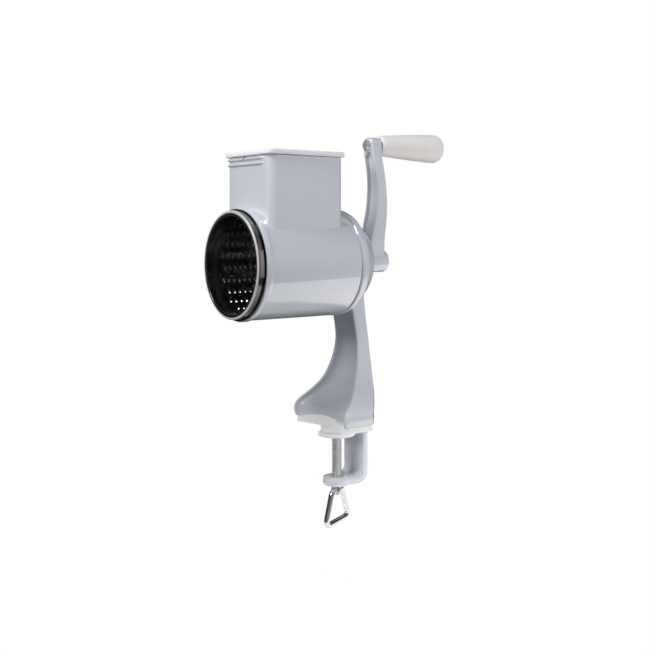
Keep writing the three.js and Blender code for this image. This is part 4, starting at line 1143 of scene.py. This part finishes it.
# %% Threaded screw
thread_top, thread_bottom, thread_pitch = -9.2, -47.6, 1.25
crest, groove, runout = 3.95, 0.68, 1.2
steps = int((thread_top - thread_bottom) / thread_pitch * 8)
screw = upright([(3.9, thread_bottom + (thread_top - thread_bottom) * step / steps)
                 for step in range(steps + 1)], sides=40)
for vertex in screw.data.vertices:
    height = vertex.co.z / mm
    turn = math.atan2(vertex.co.y, vertex.co.x) / (2 * math.pi)
    phase = (height / thread_pitch - turn) % 1
    wave = min(abs(phase - 0.5) * 2.6, 1)
    ends = max(min((thread_top - height) / runout, (height - thread_bottom) / runout, 1), 0)
    radius = crest - groove * (1 - wave) * ends
    flat = Vector((vertex.co.x, vertex.co.y)).normalized() * radius * mm
    vertex.co.x, vertex.co.y = flat
journal = upright([(3.4, -9.4), (3.9, -9.0), (3.9, -8.6), (2.6, -8.5), (2.6, -3.4), (3.8, -3.4),
                   (3.8, -2.6), (3.3, -2.4)], sides=48)
combine(screw, FUSE, journal)
print("thread:", len(screw.data.polygons), "faces")

# %% [markdown]
# Below the boss the rod is pressed flat into an eye for the bail. The eye is a thick disc on edge, with
# a hole that the wire runs through, and it is turned by 25 degrees, as the bail stands in rest.

# %% Eye of the screw
bail_turn = Matrix.Rotation(math.radians(25), 4, "Z")
eye_z = -52.7
neck = upright([(3.3, -47.4), (3.6, -47.9), (3.6, -48.6), (3.2, -49.6), (2.0, -51)], sides=48)
tab = turned([(3.9, -2), (4.25, -1.8), (4.4, -1.4), (4.4, 1.4), (4.25, 1.8), (3.9, 2)], sides=64,
             at=(0, 0, eye_z))
combine(tab, FUSE, neck)
combine(tab, CUT, turned(straight(2.75, -5, 5), sides=48, at=(0, 0, eye_z)))
tab.data.transform(bail_turn)
combine(screw, FUSE, tab)
clean(screw)
finish(screw, "clamp_thread", "screw", "zinc", bright_zinc, ["clamp_screw"], angle=40)

# %% [markdown]
# The bail is one loop of thick wire with round corners, shaped like a stirrup. It starts as a torus,
# whose rings are moved one by one onto the loop's path. The list gives each corner of the path with the
# length at which its curve begins.

# %% Bail
top_z, base_z = eye_z, eye_z - 25.5
corners = [(7.5, top_z, 4.2), (-7.5, top_z, 4.2), (-18.6, base_z, 6.5), (18.6, base_z, 6.5)]
path = []
for index, (y, z, cutback) in enumerate(corners):
    here, before = Vector((y, z)), Vector(corners[index - 1][:2])
    *next_place, next_cutback = corners[(index + 1) % 4]
    after = Vector(next_place)
    first = here + (before - here).normalized() * cutback
    last = here + (after - here).normalized() * cutback
    path += [Vector(point) for point in soft_corner(first, here, last, 10)]
    stop = after + (here - after).normalized() * next_cutback
    path += [last.lerp(stop, step / 8) for step in range(1, 8)]
wire, wire_sides = 2.4, 20
select_only()
bpy.ops.mesh.primitive_torus_add(major_segments=len(path), minor_segments=wire_sides,
                                 major_radius=20 * mm, minor_radius=wire * mm)
bail = bpy.context.object
for index, spot in enumerate(path):
    run = (path[(index + 1) % len(path)] - path[index - 1]).normalized()
    for side in range(wire_sides):
        turn = 2 * math.pi * side / wire_sides
        out = wire * math.cos(turn)
        bail.data.vertices[index * wire_sides + side].co = (
            wire * math.sin(turn) * mm, (spot.x - run.y * out) * mm, (spot.y + run.x * out) * mm)
bail.data.transform(bail_turn)
clean(bail)
finish(bail, "wire_bail", "bail", "zinc", chrome, ["bail"], angle=60)

# %% [markdown]
# The pad that presses up against the table is a white enamelled disc with a pale moulded face on it.
# Both are turned, and their edges are rounded in the profile, where a plain cylinder would look like a
# coin.

# %% Pad
disc = upright([(2.9, -8.2), (13.6, -8.2), (14.5, -7.9), (15, -7.2), (15, -6.0), (14.5, -5.3),
                (13.6, -5.0), (2.9, -5.0)], closed=True)
finish(disc, "pad_disc", "pad", "zinc", pad_enamel, ["pressure_pad"])
face = upright([(12.4, -4.7), (12.85, -4.5), (13, -4.0), (13, -1.2), (12.7, -0.6), (12.1, -0.3)])
combine(face, CUT, upright(straight(6.4, -6, -1.5), sides=48))
finish(face, "pad_cushion", "pad", "white", sole_plastic, ["pad_face"])

# %% [markdown]
# The small pieces that stay hidden inside keep their CAD shape, which is right as it is. They get the
# finish of their real material.

# %% Hidden pieces
kept = {"housing_screw_1": turned_steel, "housing_screw_2": turned_steel,
        "housing_screw_3": turned_steel, "drive_shaft": turned_steel, "pad_washer": turned_steel,
        "shaft_bush": sintered_bronze, "thrust_washer": sole_plastic}
for name, material in kept.items():
    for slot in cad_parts[name].material_slots:
        slot.material = material
print("kept from the model:", ", ".join(kept))

# %% [markdown]
# ## The set
#
# The grinder stands over a plain floor. The camera sees almost only a white glow there, and round the
# object a faint shadow. Gloss sees the same floor as a dark table with one white panel on it, because
# shiny plastic and metal need something dark beside something bright: the panel's straight edge draws
# the crisp line in the barrel. The panel also glows softly upwards, as a white table would.

# %% Floor
lowest = cad_box[0][2] - 0.5 * mm
select_only()
bpy.ops.mesh.primitive_grid_add(x_subdivisions=4, y_subdivisions=4, size=8, location=(0, 0, lowest))
floor = bpy.context.object
floor.name = "floor"
white = Finish(bpy.data.materials.new("white_floor"))
seen = white.node("ShaderNodeLightPath", out="Is Camera Ray")
mirrored = white.node("ShaderNodeLightPath", out="Is Glossy Ray")
from_panel = white.node("ShaderNodeMapping", {
    "Vector": white.place(), "Location": (0.08, 0.235, 0), "Scale": (0.19, 0.285, 1)},
    vector_type="TEXTURE")
across, along, _ = white.node("ShaderNodeVectorMath", {0: from_panel}, operation="ABSOLUTE").parts()
panel = white.ramp(across, 1.03, 1.0) * white.ramp(along, 1.03, 1.0)
around = white.node("ShaderNodeVectorMath", {0: white.place()}, out=1, operation="LENGTH")
faint = 0.05 * white.ramp(around, 0.4, 0.05)
matt = white.node("ShaderNodeBsdfDiffuse", {
    "Color": white.mix(seen, (0.15, 0.15, 0.155, 1), (0.85, 0.85, 0.85, 1))})
image = white.node("ShaderNodeEmission", {
    "Strength": 1.0, "Color": white.mix(panel, (0.08, 0.08, 0.082, 1), (1, 1, 1, 1))})
glow = white.node("ShaderNodeEmission", {"Color": (1, 1, 1, 1), "Strength": 1.0})
lit = white.blend(mirrored, white.blend(panel, matt, glow), image)
floor.data.materials.append(white.ends_in(white.blend(seen * (1 - faint), lit, glow)))

# %% [markdown]
# Five soft lamps light the grinder as a bright room would. Four of them can't be seen in gloss, so they
# light the plastic without hard spots: a low one in front that reaches under the case, a broad one
# behind on the right, one for the left side, and a weak one by the floor that lifts the undersides. Only
# the high front lamp is mirrored, as small glints in the teeth. The sky is dim, and a little brighter
# above and to the right.

# %% Lamps and world
lamps_aim = Vector((0, 0, 0.08))


def soft_lamp(name, place, size, power, mirrored=True):
    select_only()
    bpy.ops.object.light_add(type="AREA", location=place)
    lamp = bpy.context.object
    lamp.name = name
    lamp.data.shape = "RECTANGLE"
    lamp.data.size, lamp.data.size_y = size
    lamp.data.energy = power
    lamp.visible_glossy = mirrored
    lamp.visible_camera = False
    aim = lamps_aim - Vector(place)
    lamp.rotation_euler = aim.to_track_quat("-Z", "Y").to_euler()


soft_lamp("front_lamp", (0.05, -0.95, 1.2), (0.5, 0.5), 12.5)
soft_lamp("low_lamp", (0.0, -1.1, 0.4), (0.8, 0.25), 5.5, mirrored=False)
soft_lamp("side_lamp", (1.45, 1.15, 0.48), (2.2, 0.95), 18.5, mirrored=False)
soft_lamp("left_lamp", (-1.4, 0.55, 0.55), (1.5, 0.9), 17, mirrored=False)
soft_lamp("bounce_lamp", (0.4, 0.35, -0.07), (0.4, 0.4), 0.8, mirrored=False)

sky = Finish(bpy.data.worlds.new("studio"))
bpy.context.scene.world = sky.owner
seen = sky.node("ShaderNodeLightPath", out="Is Camera Ray")
rightwards, _, upwards = sky.node("ShaderNodeTexCoord", out="Generated").parts()
plain = sky.node("ShaderNodeBackground", {"Color": (1, 1, 1, 1), "Strength": 1.0})
strength = 0.06 + 0.5 * sky.ramp(upwards, 0.85, 1.0) + 0.2 * sky.ramp(rightwards, 0.2, 0.9)
dim = sky.node("ShaderNodeBackground", {"Color": (0.95, 0.97, 1.0, 1), "Strength": strength})
sky.ends_in(sky.blend(seen, dim, plain), "ShaderNodeOutputWorld")

# %% [markdown]
# The camera stands where the photograph was taken from: level, to the front and right of the grinder,
# and a little above its middle. A small shift frames the object without tilting its upright lines.

# %% Camera
bpy.context.scene.view_settings.view_transform = "Standard"
select_only()
bpy.ops.object.camera_add(location=(0.6264, -0.4548, 0.1628),
                          rotation=(math.radians(90), 0, math.radians(53)))
camera = bpy.context.object
camera.data.lens = 52.65
camera.data.sensor_width = 36
camera.data.shift_x = -0.0442
camera.data.shift_y = -0.1540
camera.data.clip_start = 0.01
bpy.context.scene.camera = camera
